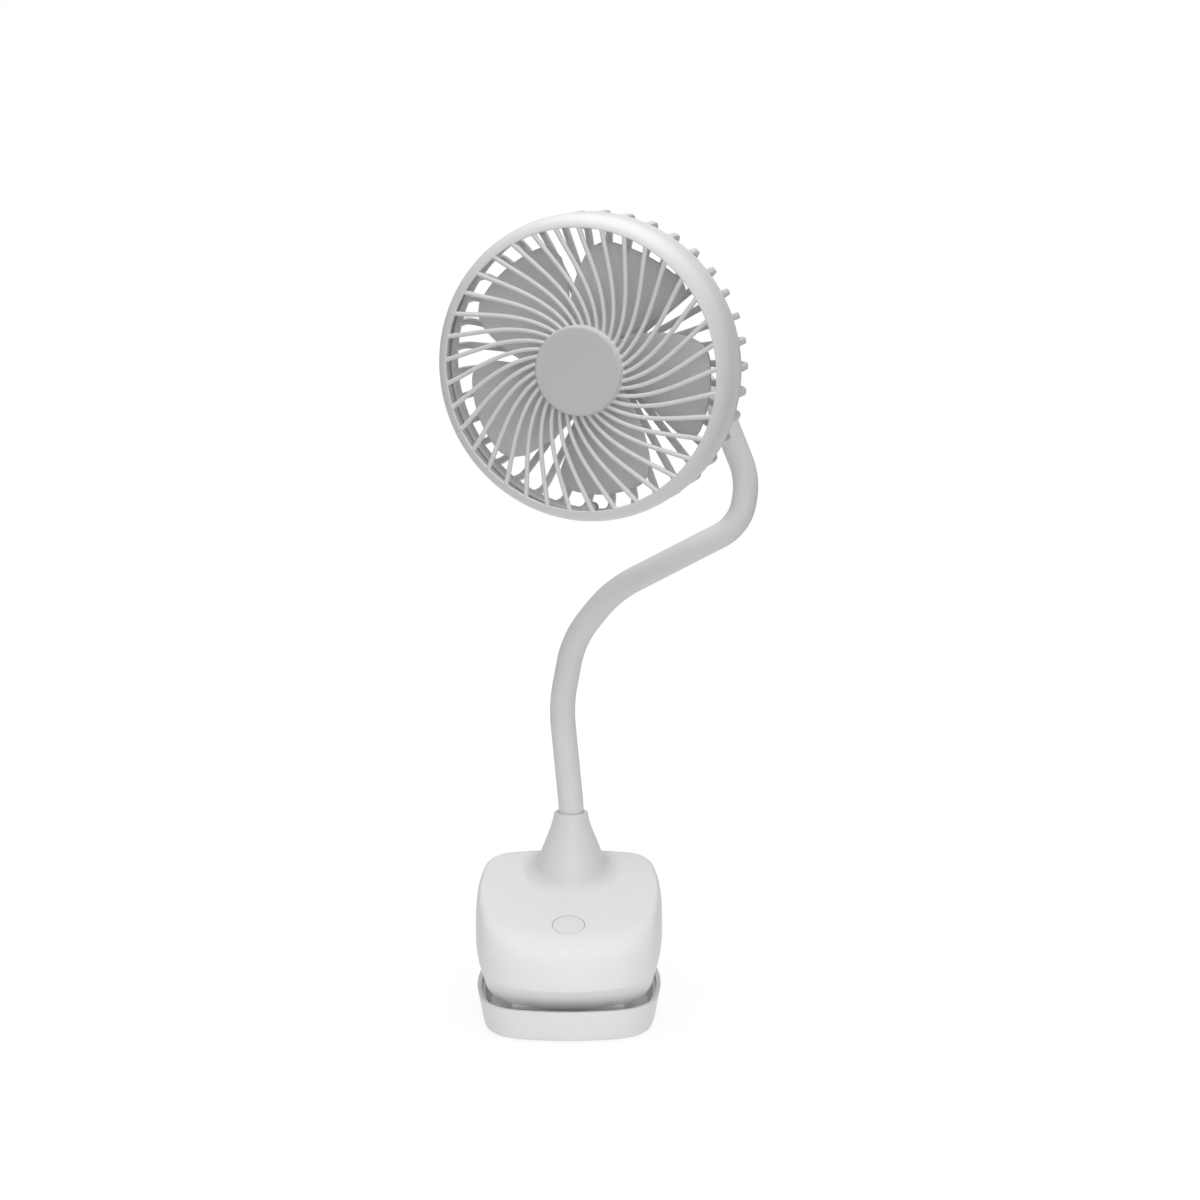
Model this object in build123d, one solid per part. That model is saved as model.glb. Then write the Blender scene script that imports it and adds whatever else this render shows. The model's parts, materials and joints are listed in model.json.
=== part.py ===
from build123d import *
import os
from math import atan2, cos, radians, sin, sqrt

# Rechargeable clip fan: a round caged fan head on a bendable neck that rises
# from a spring clip base. Millimetres, +Z up, front towards -Y, origin at the
# middle of the underside.

# ---- Clearances -------------------------------------------------------------
SLIP = 0.05            # radial gap of a pin or shaft in its hole
LAYER_GAP = 0.05       # radial gap between the layers of the neck
FREE_GAP = 0.3         # gap between faces that move past each other
SNAP_GAP = 0.2         # gap round a cap or rim pressed into its seat

# ---- Outline shared by both jaws of the base --------------------------------
BASE_HALF_WIDTH = 46.9
BASE_HALF_DEPTH = 52.0
FRONT_CORNER_RADIUS = 26.4
REAR_CORNER_RADIUS = 16.4
SIDE_BULGE = 2.4       # how far the sides stand out past the corner circles

# ---- Lower jaw: an open tray ------------------------------------------------
TRAY_BOTTOM_Z = 0.6
TRAY_RIM_Z = 16.6
TRAY_BOTTOM_INSET = 3.0
TRAY_BOTTOM_ROUND = 2.8
TRAY_WALL = 2.2
TRAY_LEDGE_WIDTH = 1.8
TRAY_LEDGE_DROP = 3.0
TRAY_FLOOR = 2.5
TRAY_RIB_X = 12.0
TRAY_RIB_THICKNESS = 2.0
STRIP_THICKNESS = 1.6  # the three soft strips that the fan stands on
STRIP_WIDTH = 8.0
STRIP_FROM_END = 16.0  # outer edge of an end strip inside the outline's end
END_STRIP_CUT = 12.4   # how much shorter an end strip is than the tray, each way
MIDDLE_STRIP_CUT = 7.0

# ---- Upper jaw: a domed housing, tilted with its rear edge high --------------
JAW_TILT = 19.0
JAW_PROUD = 0.6        # the jaw's widest line outside the tray's outline
JAW_SETBACK = 9.73     # bottom front edge behind the tray's rim
JAW_DROP = 1.0         # bottom front edge below the tray's rim
BAND_HEIGHT = 14.5     # from the bottom to the crease, the widest line
BAND_INSET = 2.8       # how far the band's foot is drawn in at the sides and rear
BAND_FRONT_INSET = 6.0
DOME_HEIGHT = 17.5     # from the crease to the flat top
DOME_FRONT_ROLL = 27.0  # the front rolls down to the crease over this length
DOME_EDGE_ROLL = 5.0   # the sides and the rear round off over this length
DOME_EDGE_POWER = 4.0  # how square that rounding is
# Heights of the dome's sections as shares of its height, closer near the top.
DOME_ROWS = (0.0, 0.25, 0.5, 0.7, 0.85, 0.94, 0.985, 1.0)
HOUSING_WALL = 2.2
COVER_THICKNESS = 2.3

# ---- Clip hinge -------------------------------------------------------------
HINGE_BACK = 4.0       # pin behind the middle of the jaw, along its bottom
HINGE_DROP = 10.5      # pin below the jaw's bottom
PIN_RADIUS = 2.0
PIN_HALF_LENGTH = 24.0
EAR_RADIUS = 5.0
EAR_THICKNESS = 3.5
EAR_FOOT_SPREAD = 1.9  # half foot of a lower ear, in ear radii
UPPER_EAR_X = 14.75    # middle of an upper ear
EAR_SIDE_GAP = 0.5
PIN_CLIP_RADIUS = 3.6
PIN_CLIP_THICKNESS = 0.8
SPRING_WIRE_RADIUS = 0.6
SPRING_COIL_RADIUS = 3.6
SPRING_TURNS = 5
SPRING_PITCH = 1.7
SPRING_LEG = 19.0
PAD_HALF_LENGTH = 28.0
PAD_WIDTH = 8.0
PAD_THICKNESS = 1.8
PAD_FROM_EDGE = 2.0
LOWER_PAD_THICKNESS = 1.6

# ---- Power button, switch and board -----------------------------------------
BUTTON_RADIUS = 8.2
BUTTON_GAP = 0.2
BUTTON_FORWARD = 19.2  # button centre in front of the jaw's middle
BUTTON_PROUD = 0.2
BUTTON_BEVEL = 0.5
BUTTON_FLANGE = 1.1
BUTTON_FLANGE_THICKNESS = 1.2
BUTTON_STEM_RADIUS = 2.2
BOARD_HALF_X = 20.0
BOARD_HALF_Y = 14.0
BOARD_THICKNESS = 1.6
BOARD_HEIGHT = 17.0    # underside of the board above the jaw's bottom
BOARD_POST_RADIUS = 2.4
BOARD_SCREW_IN = 3.5   # screws in from the board's ends
SWITCH_SIZE = 6.2
SWITCH_HEIGHT = 3.5
PLUNGER_RADIUS = 1.7
PLUNGER_LENGTH = 3.0
PLUNGER_STICKOUT = 1.5
SMALL_SCREW_RADIUS = 1.1
SMALL_HEAD_RADIUS = 2.2
SMALL_HEAD_HEIGHT = 1.2

# ---- Battery, charging socket and lamp --------------------------------------
CELL_RADIUS = 9.2
CELL_LENGTH = 65.0
CELL_BACK = 13.0       # cell axis behind the jaw's middle
CRADLE_X = 22.0
CRADLE_THICKNESS = 3.0
CRADLE_HEIGHT = 6.5
SOCKET_WIDTH = 9.0
SOCKET_HEIGHT = 3.3
SOCKET_DEPTH = 8.0
SOCKET_Z = 6.2         # underside of the socket above the jaw's bottom
SOCKET_SHELL = 0.35
STAND_SETBACK = 6.2    # rear of the socket's stand inside the rear wall
LAMP_X = 11.0
LAMP_RADIUS = 1.5
HOUSING_SCREW_FROM_SIDE = 19.9
HOUSING_SCREW_FROM_END = 19.5
HOUSING_SCREW_X = BASE_HALF_WIDTH - HOUSING_SCREW_FROM_SIDE
HOUSING_SCREW_Y = BASE_HALF_DEPTH - HOUSING_SCREW_FROM_END
HOUSING_BOSS_RADIUS = 3.4
HOUSING_SCREW_LENGTH = 10.0
BOARD_SCREW_LENGTH = 7.0

# ---- Neck collar on the base ------------------------------------------------
COLLAR_X = 1.0
COLLAR_FROM_REAR = 33.0
COLLAR_Y = BASE_HALF_DEPTH - COLLAR_FROM_REAR
COLLAR_RISE = 31.46    # collar's top above the dome's top, on the collar's axis
COLLAR_RADIUS = 8.6
COLLAR_BORE_DEPTH = 14.0
COLLAR_WEB = 4.0
FLARE_RADIUS = 21.5
FLARE_ROOT = 6.0       # depth of the flare's first circle below the dome's top
FLARE_LEAN = 1.9       # flare's root in front of the collar
FLARE_FILLET = 12.0    # where the flare runs out into the dome
FLARE_WALL = 3.0
# The flare's sections under the collar: tilt in degrees, depth below the
# collar's top, and how far the section stands out past the collar.
FLARE_ROWS = ((6.0, 16.0, 5.2), (2.0, 9.0, 2.4), (0.0, 3.0, 0.5), (0.0, 0.0, 0.0))
FLARE_HOLLOW_ROWS = ((6.0, 26.0, 4.0), (0.0, COLLAR_BORE_DEPTH + COLLAR_WEB, 1.9))

# ---- Neck -------------------------------------------------------------------
SLEEVE_RADIUS = 6.4
CORE_RADIUS = 4.0
LEAD_RADIUS = 2.6
BALL_GAP = 0.3         # gap of each joint's cup over its ball
FERRULE_THREAD_RADIUS = 4.0
FERRULE_THREAD_LENGTH = 10.0
FERRULE_FLANGE_RADIUS = 6.3
FERRULE_FLANGE = 2.0
NUT_ACROSS_FLATS = 12.5
NUT_THICKNESS = 4.0

# ---- Fan head, in its own frame: z to the front from the plane of the lip ----
LIP_FROM_COLLAR = Vector(4.9, -92.0, 236.95)  # middle of the lip from the middle of the collar's top
HEAD_TURN = 18.5       # degrees the head looks to its own right (towards -X)
HEAD_NOD = 1.3         # degrees the head looks down
RING_RADIUS = 73.9
LIP_INSET = 6.3        # the lip stands inside the ring's widest line
LIP_RADIUS = RING_RADIUS - LIP_INSET
RING_WALL = 2.0
RING_SHOULDER = 9.5    # where the ring is widest, behind the lip
RING_DEPTH = 20.0
RING_TAPER = 0.3       # how much narrower the ring is at its rear edge
RIB_COUNT = 37
RIB_RADIUS = 1.2
RIB_PHASE = 2.4
RIB_SWEEP = 36.5       # degrees a front rib turns between hub and lip
HUB_RADIUS = 21.8
HUB_THICKNESS = 3.6
HUB_RISE = 0.6
CAP_THICKNESS = 2.0
CAP_BEVEL = 1.3
CAP_SPIGOT_RADIUS = 18.0
CAP_SPIGOT = 1.4
GRILLE_SCREW_ANGLES = (90.0, 270.0)
GRILLE_BOSS_RADIUS = 2.6

# ---- Rear cage --------------------------------------------------------------
CAGE_RIM = 3.0         # depth of the solid rim behind the ring
CAGE_SPIGOT = 4.0      # depth of the rim's step inside the ring
SPIGOT_WALL = 1.6
FIN_COUNT = 37
FIN_PHASE = 0.3
FIN_WIDTH = 3.2
FIN_THICKNESS = 2.8
CAGE_SHOULDER_Z = 33.0
CAGE_SHOULDER_RADIUS = 8.0
CAGE_DEPTH = 45.0
DISC_RADIUS = 24.0
DISC_THICKNESS = 2.5

# ---- Motor and impeller -----------------------------------------------------
MOTOR_RADIUS = 15.0
MOTOR_LENGTH = 23.0
MOTOR_WALL = 1.0
MOTOR_COLLAR_WALL = 1.9    # collar on the disc round the motor's rear
MOTOR_COLLAR_HEIGHT = 6.0
END_PLATE_THICKNESS = 2.0
MAGNET_THICKNESS = 2.2
MAGNET_SPLIT = 7.0     # gap between the two magnets
ROTOR_RADIUS = 10.9
ROTOR_LENGTH = 11.0
SHAFT_RADIUS = 1.5
BUSH_RADIUS = 3.5
BUSH_LENGTH = 4.0
MOTOR_SCREW_X = 9.0
BLADE_COUNT = 5
BLADE_TIP_GAP = 10.2   # tips inside the ring's wall
BLADE_TIP_RADIUS = RING_RADIUS - RING_WALL - BLADE_TIP_GAP
BLADE_THICKNESS = 1.6
BLADE_PITCH = 12.0     # degrees from the plane of the wheel
BLADE_CAMBER = 0.1     # height of the blade's arch as a share of half its width
# Sections of the blade's sheet: distance from the axis as a share of the
# tip radius, and half the sheet's width there.
BLADE_CHORDS = ((0.1, 20.0), (0.54, 36.0), (1.06, 44.0))
BLADE_PHASE = 12.0     # angle of the first blade's trailing tip corner
BLADE_ROUND = 9.0
IMPELLER_HUB_RADIUS = 18.5
SHAFT_PROUD = 2.5      # shaft's end in front of the impeller's hub
IMPELLER_HUB_FRONT = 8.0
IMPELLER_HUB_DEPTH = 16.0
IMPELLER_HUB_ROUND = 2.0
BLADE_MIDDLE_Z = IMPELLER_HUB_FRONT + IMPELLER_HUB_DEPTH / 2
IMPELLER_WALL = 1.8
IMPELLER_BOSS_RADIUS = 4.0
IMPELLER_BOSS_GAP = 3.5  # boss in front of the motor

# ---- Motor cover ------------------------------------------------------------
COVER_RADIUS = 22.5
COVER_WALL = 1.8
COVER_SKIRT = 3.0
COVER_DEPTH = 12.0
COVER_FLAT = 2.0       # flat round the neck boss
COVER_BULGE = 0.62     # how full the bowl's arc is
NECK_BOSS_RADIUS = 8.4
NECK_BOSS_LENGTH = 6.0
NECK_BOSS_WEB = 2.2
COVER_SCREW_AT = 19.3
COVER_SCREW_ANGLES = (90.0, 210.0, 330.0)
COVER_POST_RADIUS = 2.4
COVER_POST_DEPTH = 7.0
COVER_SCREW_LENGTH = 8.0
GRILLE_SCREW_LENGTH = 9.0
MOTOR_SCREW_LENGTH = 6.0

# ---- Derived places ---------------------------------------------------------
TILT_SIN, TILT_COS = sin(radians(JAW_TILT)), cos(radians(JAW_TILT))
JAW_ALONG = Vector(0, TILT_COS, TILT_SIN)
JAW_UP = Vector(0, -TILT_SIN, TILT_COS)
JAW_FRONT = Vector(0, -BASE_HALF_DEPTH + JAW_SETBACK, TRAY_RIM_Z - JAW_DROP)
JAW_FOOT = BASE_HALF_DEPTH + JAW_PROUD - BAND_FRONT_INSET  # middle to bottom front edge
JAW_ORIGIN = JAW_FRONT + JAW_ALONG * JAW_FOOT
JAW = Plane(origin=JAW_ORIGIN, x_dir=(1, 0, 0), z_dir=JAW_UP)
JAW_TOP = BAND_HEIGHT + DOME_HEIGHT
HINGE = JAW_ORIGIN + JAW_ALONG * HINGE_BACK - JAW_UP * HINGE_DROP
TRAY_FLOOR_Z = TRAY_BOTTOM_Z + TRAY_FLOOR
LOWER_EAR_X = UPPER_EAR_X + EAR_THICKNESS + EAR_SIDE_GAP
BOARD_SCREW_X = BOARD_HALF_X - BOARD_SCREW_IN
BOARD_SCREWS = [(x, -BUTTON_FORWARD) for x in (-BOARD_SCREW_X, BOARD_SCREW_X)]
SWITCH_LOW = BOARD_HEIGHT + BOARD_THICKNESS
SWITCH_TOP = SWITCH_LOW + SWITCH_HEIGHT
PLUNGER_TOP = SWITCH_TOP + PLUNGER_STICKOUT
# Where the collar's axis meets the dome's top, along the jaw, and the collar above it.
COLLAR_ALONG = (COLLAR_Y - JAW_ORIGIN.Y + TILT_SIN * JAW_TOP) / TILT_COS
COLLAR_TOP_Z = JAW_ORIGIN.Z + TILT_SIN * COLLAR_ALONG + TILT_COS * JAW_TOP + COLLAR_RISE
COLLAR_TOP = Vector(COLLAR_X, COLLAR_Y, COLLAR_TOP_Z)
# Middle of the flare's root along the jaw, under the collar.
FLARE_Y = (COLLAR_Y - FLARE_LEAN - JAW_ORIGIN.Y + TILT_SIN * (JAW_TOP - FLARE_ROOT)) / TILT_COS

LIP_CENTRE = COLLAR_TOP + LIP_FROM_COLLAR

HEAD_FRONT = Vector(-sin(radians(HEAD_TURN)) * cos(radians(HEAD_NOD)),
                    -cos(radians(HEAD_TURN)) * cos(radians(HEAD_NOD)),
                    -sin(radians(HEAD_NOD)))
HEAD_RIGHT = Vector(cos(radians(HEAD_TURN)), -sin(radians(HEAD_TURN)), 0)
HEAD = Plane(origin=LIP_CENTRE, x_dir=HEAD_RIGHT, z_dir=HEAD_FRONT)
CAGE_RADIUS = RING_RADIUS - RING_TAPER
SPIGOT_RADIUS = CAGE_RADIUS - RING_WALL - SNAP_GAP
GRILLE_BOSS_AT = SPIGOT_RADIUS - GRILLE_BOSS_RADIUS
DISC_FRONT_Z = -CAGE_DEPTH + DISC_THICKNESS
MOTOR_REAR_Z = DISC_FRONT_Z
MOTOR_FRONT_Z = MOTOR_REAR_Z + MOTOR_LENGTH
BOSS_WEB_Z = -CAGE_DEPTH - COVER_DEPTH
NECK_SEAT_Z = BOSS_WEB_Z - NECK_BOSS_WEB - FERRULE_FLANGE
NECK_BOSS_END_Z = BOSS_WEB_Z - NECK_BOSS_WEB - NECK_BOSS_LENGTH

COLLAR_SEAT_Z = COLLAR_TOP_Z - COLLAR_BORE_DEPTH

# The neck's centre line from the collar to the head: points where straight
# runs meet, to the right of the collar's top and above it, all at its depth,
# and the radius of the arc that rounds each.
NECK_CORNERS = [
    ((0.0, 4.0), 55.0),
    ((-5.0, 56.0), 80.0),
    ((1.4, 90.2), 50.0),
    ((20.8, 115.0), 60.0),
    ((85.4, 148.6), 23.0),
    ((89.4, 172.2), 36.0),
    ((70.0, 221.0), 45.0),
]
NECK_LAST_RADIUS = 26.0
HEAD_BACK = HEAD_FRONT * -1
NECK_HEAD_JOINT_Z = NECK_BOSS_END_Z - 6.0
# The neck corner that each joint follows, and its distance beyond that corner.
NECK_JOINT_INDEX = (0, 1, 3, 3, 5)
NECK_JOINT_DISTANCE = (20.0, 17.0, 20.0, 54.0, 25.0)


def on_jaw(part):
    """Moves a part drawn in the jaw's own frame to its place."""
    return JAW.location * part


def on_head(part):
    """Moves a part drawn in the head's own frame to its place."""
    return HEAD.location * part


def disc(radius, low, high, x=0.0, y=0.0):
    """Solid cylinder along Z between two heights."""
    return Pos(x, y, (low + high) / 2) * Cylinder(radius, high - low)


def ring(outer, inner, low, high, x=0.0, y=0.0):
    """Hollow cylinder along Z between two heights."""
    return disc(outer, low, high, x, y) - disc(inner, low - 1, high + 1, x, y)


def block(x0, x1, y0, y1, z0, z1):
    """Box between two corners."""
    middle = Pos((x0 + x1) / 2, (y0 + y1) / 2, (z0 + z1) / 2)
    return middle * Box(x1 - x0, y1 - y0, z1 - z0)


def revolved(outline):
    """Turns a closed outline of (radius, height) lines and arcs about Z."""
    return revolve(Plane.XZ * make_face(outline), Axis.Z)


def export(name, part):
    """Writes one node: a single solid, or a group of alike solids."""
    solids = part.solids()
    shape = solids[0] if len(solids) == 1 else Compound(children=list(solids))
    export_step(shape, f"parts/{name}.step")


# ---- Outlines ---------------------------------------------------------------
def base_plan(inset, height=0.0, front_cut=0.0):
    """Base outline drawn in by inset, and at the front by front_cut more: four
    bulged sides and four round corners, the front ones larger."""
    half_w, half_d = BASE_HALF_WIDTH - inset, BASE_HALF_DEPTH - inset - front_cut / 2
    radius = {-1: FRONT_CORNER_RADIUS - inset, 1: REAR_CORNER_RADIUS - inset}
    centre = {end: Vector(half_w - radius[end] - SIDE_BULGE, end * (half_d - radius[end] - SIDE_BULGE))
              for end in (-1, 1)}
    # The side is an arc that touches both of its corner circles.
    middle_y = (SIDE_BULGE * (radius[1] - radius[-1]) / (centre[1].Y - centre[-1].Y)
                + (centre[1].Y + centre[-1].Y) / 2)
    reach = (radius[1] + SIDE_BULGE) ** 2 - radius[1] ** 2
    side_r = ((centre[1].Y - middle_y) ** 2 + reach) / (2 * SIDE_BULGE)
    side_centre = Vector(half_w - side_r, middle_y)
    arcs = []
    for end in (-1, 1):
        corner = radius[end]
        end_r = (centre[end].X ** 2 + (corner + SIDE_BULGE) ** 2 - corner ** 2) / (2 * SIDE_BULGE)
        to_side = (centre[end] - side_centre).normalized()
        to_end = (centre[end] - Vector(0, end * (half_d - end_r))).normalized()
        a = centre[end] + to_side * corner
        b = centre[end] + (to_side + to_end).normalized() * corner
        c = centre[end] + to_end * corner
        arcs.append(ThreePointArc((c.X, c.Y), (0, end * half_d), (-c.X, c.Y)))
        for side in (-1, 1):
            arcs.append(ThreePointArc((side * a.X, a.Y), (side * b.X, b.Y), (side * c.X, c.Y)))
        if end < 0:
            low = a
    for side in (-1, 1):
        arcs.append(ThreePointArc((side * low.X, low.Y), (side * half_w, middle_y), (side * a.X, a.Y)))
    return Pos(0, front_cut / 2, height) * make_face(arcs)


def band_inset(height):
    """How far the jaw's sloping band is drawn in from the tray's outline at a height."""
    return BAND_INSET * (1 - height / BAND_HEIGHT) - JAW_PROUD


def band_plan(height, wall=0.0):
    """Outline of the jaw's band at a height above its bottom, drawn in by wall."""
    front_cut = (BAND_FRONT_INSET - BAND_INSET) * (1 - height / BAND_HEIGHT)
    return base_plan(band_inset(height) + wall, height, front_cut)


# ---- Lower jaw --------------------------------------------------------------
def pad_box(low, high, grow=0.0):
    """Strip under the jaw's front edge, in the jaw's frame."""
    front = -JAW_FOOT + PAD_FROM_EDGE
    half = PAD_HALF_LENGTH + grow
    return on_jaw(block(-half, half, front - grow, front + PAD_WIDTH + grow, low, high))


def lower_ear(x):
    """Ear standing on the tray's floor round the hinge pin."""
    pin = Pos(x, HINGE.Y, HINGE.Z) * Rot(0, 90, 0)
    top = pin * Cylinder(EAR_RADIUS, EAR_THICKNESS)
    foot = EAR_RADIUS * EAR_FOOT_SPREAD
    sides = Plane.YZ.offset(x - EAR_THICKNESS / 2) * make_face(Polyline(
        (HINGE.Y - foot, TRAY_FLOOR_Z - 1), (HINGE.Y + foot, TRAY_FLOOR_Z - 1),
        (HINGE.Y + EAR_RADIUS, HINGE.Z), (HINGE.Y - EAR_RADIUS, HINGE.Z), close=True))
    web = extrude(sides, amount=EAR_THICKNESS, dir=(1, 0, 0))
    return top + web - pin * Cylinder(PIN_RADIUS + SLIP, EAR_THICKNESS + 2)


def lower_tray():
    outer = loft([base_plan(TRAY_BOTTOM_INSET, TRAY_BOTTOM_Z), base_plan(0, TRAY_RIM_Z)], ruled=True)
    outer = fillet(outer.faces().sort_by(Axis.Z)[0].edges(), TRAY_BOTTOM_ROUND)
    ledge_z = TRAY_RIM_Z - TRAY_LEDGE_DROP
    upper = extrude(base_plan(TRAY_WALL, ledge_z), amount=TRAY_LEDGE_DROP + 1)
    deep_inset = TRAY_WALL + TRAY_LEDGE_WIDTH
    lower = loft([base_plan(deep_inset + TRAY_BOTTOM_INSET * 0.6, TRAY_FLOOR_Z),
                  base_plan(deep_inset, ledge_z + 0.01)], ruled=True)
    tray = outer - upper - lower
    ridge = pad_box(-PAD_THICKNESS - FREE_GAP - LOWER_PAD_THICKNESS - TRAY_RIM_Z,
                    -PAD_THICKNESS - FREE_GAP - LOWER_PAD_THICKNESS)
    inside = extrude(base_plan(TRAY_WALL, TRAY_FLOOR_Z - 1), amount=TRAY_RIM_Z)
    tray += ridge & inside
    front = BASE_HALF_DEPTH - TRAY_WALL - 0.5
    half = TRAY_RIB_THICKNESS / 2
    rib_top = TRAY_RIM_Z - TRAY_LEDGE_DROP
    for x in (-TRAY_RIB_X, TRAY_RIB_X):
        rib = block(x - half, x + half, -front, -front + PAD_WIDTH + 3, TRAY_FLOOR_Z - 1, rib_top)
        tray += (rib & outer) - pad_box(-HINGE_DROP, 0, SNAP_GAP)
    for x in (-LOWER_EAR_X, LOWER_EAR_X):
        tray += lower_ear(x)
    for strip in strip_blocks(SNAP_GAP):
        tray -= strip
    return tray


def strip_blocks(grow=0.0):
    """The three strips under the tray, grown by grow along and across."""
    half = STRIP_WIDTH / 2 + grow
    end_y = BASE_HALF_DEPTH - STRIP_FROM_END - STRIP_WIDTH / 2
    places = [(-end_y, END_STRIP_CUT), (0.0, MIDDLE_STRIP_CUT), (end_y, END_STRIP_CUT)]
    blocks = []
    for y, cut in places:
        length = BASE_HALF_WIDTH - cut + grow
        blocks.append(block(-length, length, y - half, y + half, 0, STRIP_THICKNESS))
    return blocks


def base_strips():
    return Compound(children=strip_blocks())


def lower_pad():
    top = -PAD_THICKNESS - FREE_GAP
    return pad_box(top - LOWER_PAD_THICKNESS, top)


def hinge_pin():
    return Pos(HINGE.X, HINGE.Y, HINGE.Z) * Rot(0, 90, 0) * Cylinder(PIN_RADIUS, 2 * PIN_HALF_LENGTH)


def pin_clips():
    x = LOWER_EAR_X + EAR_THICKNESS / 2 + PIN_CLIP_THICKNESS / 2 + SLIP
    clip = Cylinder(PIN_CLIP_RADIUS, PIN_CLIP_THICKNESS)
    clip -= Cylinder(PIN_RADIUS + SLIP, 2 * PIN_CLIP_THICKNESS)
    clip -= Pos(0, -PIN_CLIP_RADIUS, 0) * Box(PIN_RADIUS * 1.4, 2 * PIN_CLIP_RADIUS - PIN_RADIUS, 2)
    return Compound(children=[Pos(side * x, HINGE.Y, HINGE.Z) * Rot(0, 90, 0) * clip
                              for side in (-1, 1)])


def torsion_spring():
    """Coil round the hinge pin, with one leg on the tray and one under the jaw."""
    half = SPRING_TURNS * SPRING_PITCH / 2
    low_turn = atan2(HINGE.Z - TRAY_FLOOR_Z - SPRING_WIRE_RADIUS - FREE_GAP - SPRING_COIL_RADIUS,
                     SPRING_LEG)
    up_turn = atan2(HINGE_DROP - SPRING_WIRE_RADIUS - FREE_GAP - SPRING_COIL_RADIUS, SPRING_LEG)
    up_turn += radians(JAW_TILT)
    start = Vector(-half, -SPRING_COIL_RADIUS * sin(low_turn), -SPRING_COIL_RADIUS * cos(low_turn))
    low_tip = start + Vector(0, cos(low_turn), -sin(low_turn)) * SPRING_LEG
    end = Vector(half, -SPRING_COIL_RADIUS * sin(up_turn), SPRING_COIL_RADIUS * cos(up_turn))
    up_tip = end + Vector(0, cos(up_turn), sin(up_turn)) * SPRING_LEG

    # The coil runs from the lower leg's tangent point to the upper leg's.
    first = atan2(start.Z, start.Y)
    last = atan2(end.Z, end.Y) - 2 * radians(180) * SPRING_TURNS
    steps = 4 * SPRING_TURNS

    def on_coil(share):
        angle = first + (last - first) * share
        return (-half + 2 * half * share, SPRING_COIL_RADIUS * cos(angle), SPRING_COIL_RADIUS * sin(angle))

    turns = [ThreePointArc(on_coil(i / steps), on_coil((i + 0.5) / steps), on_coil((i + 1) / steps))
             for i in range(steps)]
    path = Wire([Line(low_tip, start)] + turns + [Line(end, up_tip)])
    section = Plane(origin=low_tip, z_dir=start - low_tip) * Circle(SPRING_WIRE_RADIUS)
    return Pos(HINGE.X, HINGE.Y, HINGE.Z) * sweep(section, path=path)


# ---- Upper jaw --------------------------------------------------------------
def dome(wall):
    """The dome from the crease to its flat top, drawn in all round by wall: the front
    rolls down in one long arc, the sides and the rear round off at the top."""
    height, roll, edge = DOME_HEIGHT - wall, DOME_FRONT_ROLL - wall, DOME_EDGE_ROLL - wall
    arc = (roll ** 2 + height ** 2) / (2 * height)
    outlines = []
    for share in DOME_ROWS:
        side = edge * (1 - (1 - share ** DOME_EDGE_POWER) ** (1 / DOME_EDGE_POWER))
        front = roll - sqrt(arc ** 2 - (arc - height * (1 - share)) ** 2)
        inset = side + wall - JAW_PROUD
        outlines.append(base_plan(inset, BAND_HEIGHT + share * height, front - side))
    return loft(outlines)


def jaw_form(wall):
    """The band and dome above the bottom cover, drawn in all round by wall."""
    band = loft([band_plan(COVER_THICKNESS, wall), band_plan(BAND_HEIGHT, wall)], ruled=True)
    return on_jaw(band + dome(wall))


def flare(root_radius, rows):
    """Smooth form from a circle in the dome, through the rows' circles, to the collar."""
    circles = [on_jaw(Pos(COLLAR_X, FLARE_Y, JAW_TOP - FLARE_ROOT) * Circle(root_radius))]
    for tilt, depth, past in rows:
        place = Pos(COLLAR_X, COLLAR_Y, COLLAR_TOP_Z - depth) * Rot(tilt, 0, 0)
        circles.append(place * Circle(COLLAR_RADIUS + past))
    return loft(circles)


def upper_housing():
    top = COLLAR_TOP_Z
    web_low = COLLAR_SEAT_Z - COLLAR_WEB
    body, trumpet = jaw_form(0), flare(FLARE_RADIUS, FLARE_ROWS)
    form = body + trumpet
    form = fillet(new_edges(body, trumpet, combined=form), FLARE_FILLET)
    inside = jaw_form(HOUSING_WALL) + flare(FLARE_RADIUS - FLARE_WALL, FLARE_HOLLOW_ROWS)
    for x in (-HOUSING_SCREW_X, HOUSING_SCREW_X):
        for y in (-HOUSING_SCREW_Y, HOUSING_SCREW_Y):
            post = disc(HOUSING_BOSS_RADIUS, COVER_THICKNESS, JAW_TOP - HOUSING_WALL, x, y)
            inside -= on_jaw(post)
    housing = form - inside
    housing -= disc(SLEEVE_RADIUS + FREE_GAP, COLLAR_SEAT_Z, top + 5, COLLAR_X, COLLAR_Y)
    housing -= disc(FERRULE_THREAD_RADIUS + 3 * SLIP, web_low - 5, top, COLLAR_X, COLLAR_Y)
    holes = disc(BUTTON_RADIUS + BUTTON_GAP, JAW_TOP - 2 * HOUSING_WALL, JAW_TOP + 1, 0, -BUTTON_FORWARD)
    for x in (-HOUSING_SCREW_X, HOUSING_SCREW_X):
        for y in (-HOUSING_SCREW_Y, HOUSING_SCREW_Y):
            holes += disc(SMALL_SCREW_RADIUS + SLIP, COVER_THICKNESS - 1,
                          COVER_THICKNESS + HOUSING_SCREW_LENGTH, x, y)
    holes += socket_block(SNAP_GAP, 2 * HOUSING_WALL)
    holes += lamp_rod(LAMP_RADIUS + SLIP, 2 * HOUSING_WALL)
    return housing - on_jaw(holes)


def rear_wall_y():
    """Outside of the housing's rear wall at the socket's height, in the jaw's frame."""
    return BASE_HALF_DEPTH - band_inset(SOCKET_Z + SOCKET_HEIGHT / 2)


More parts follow.
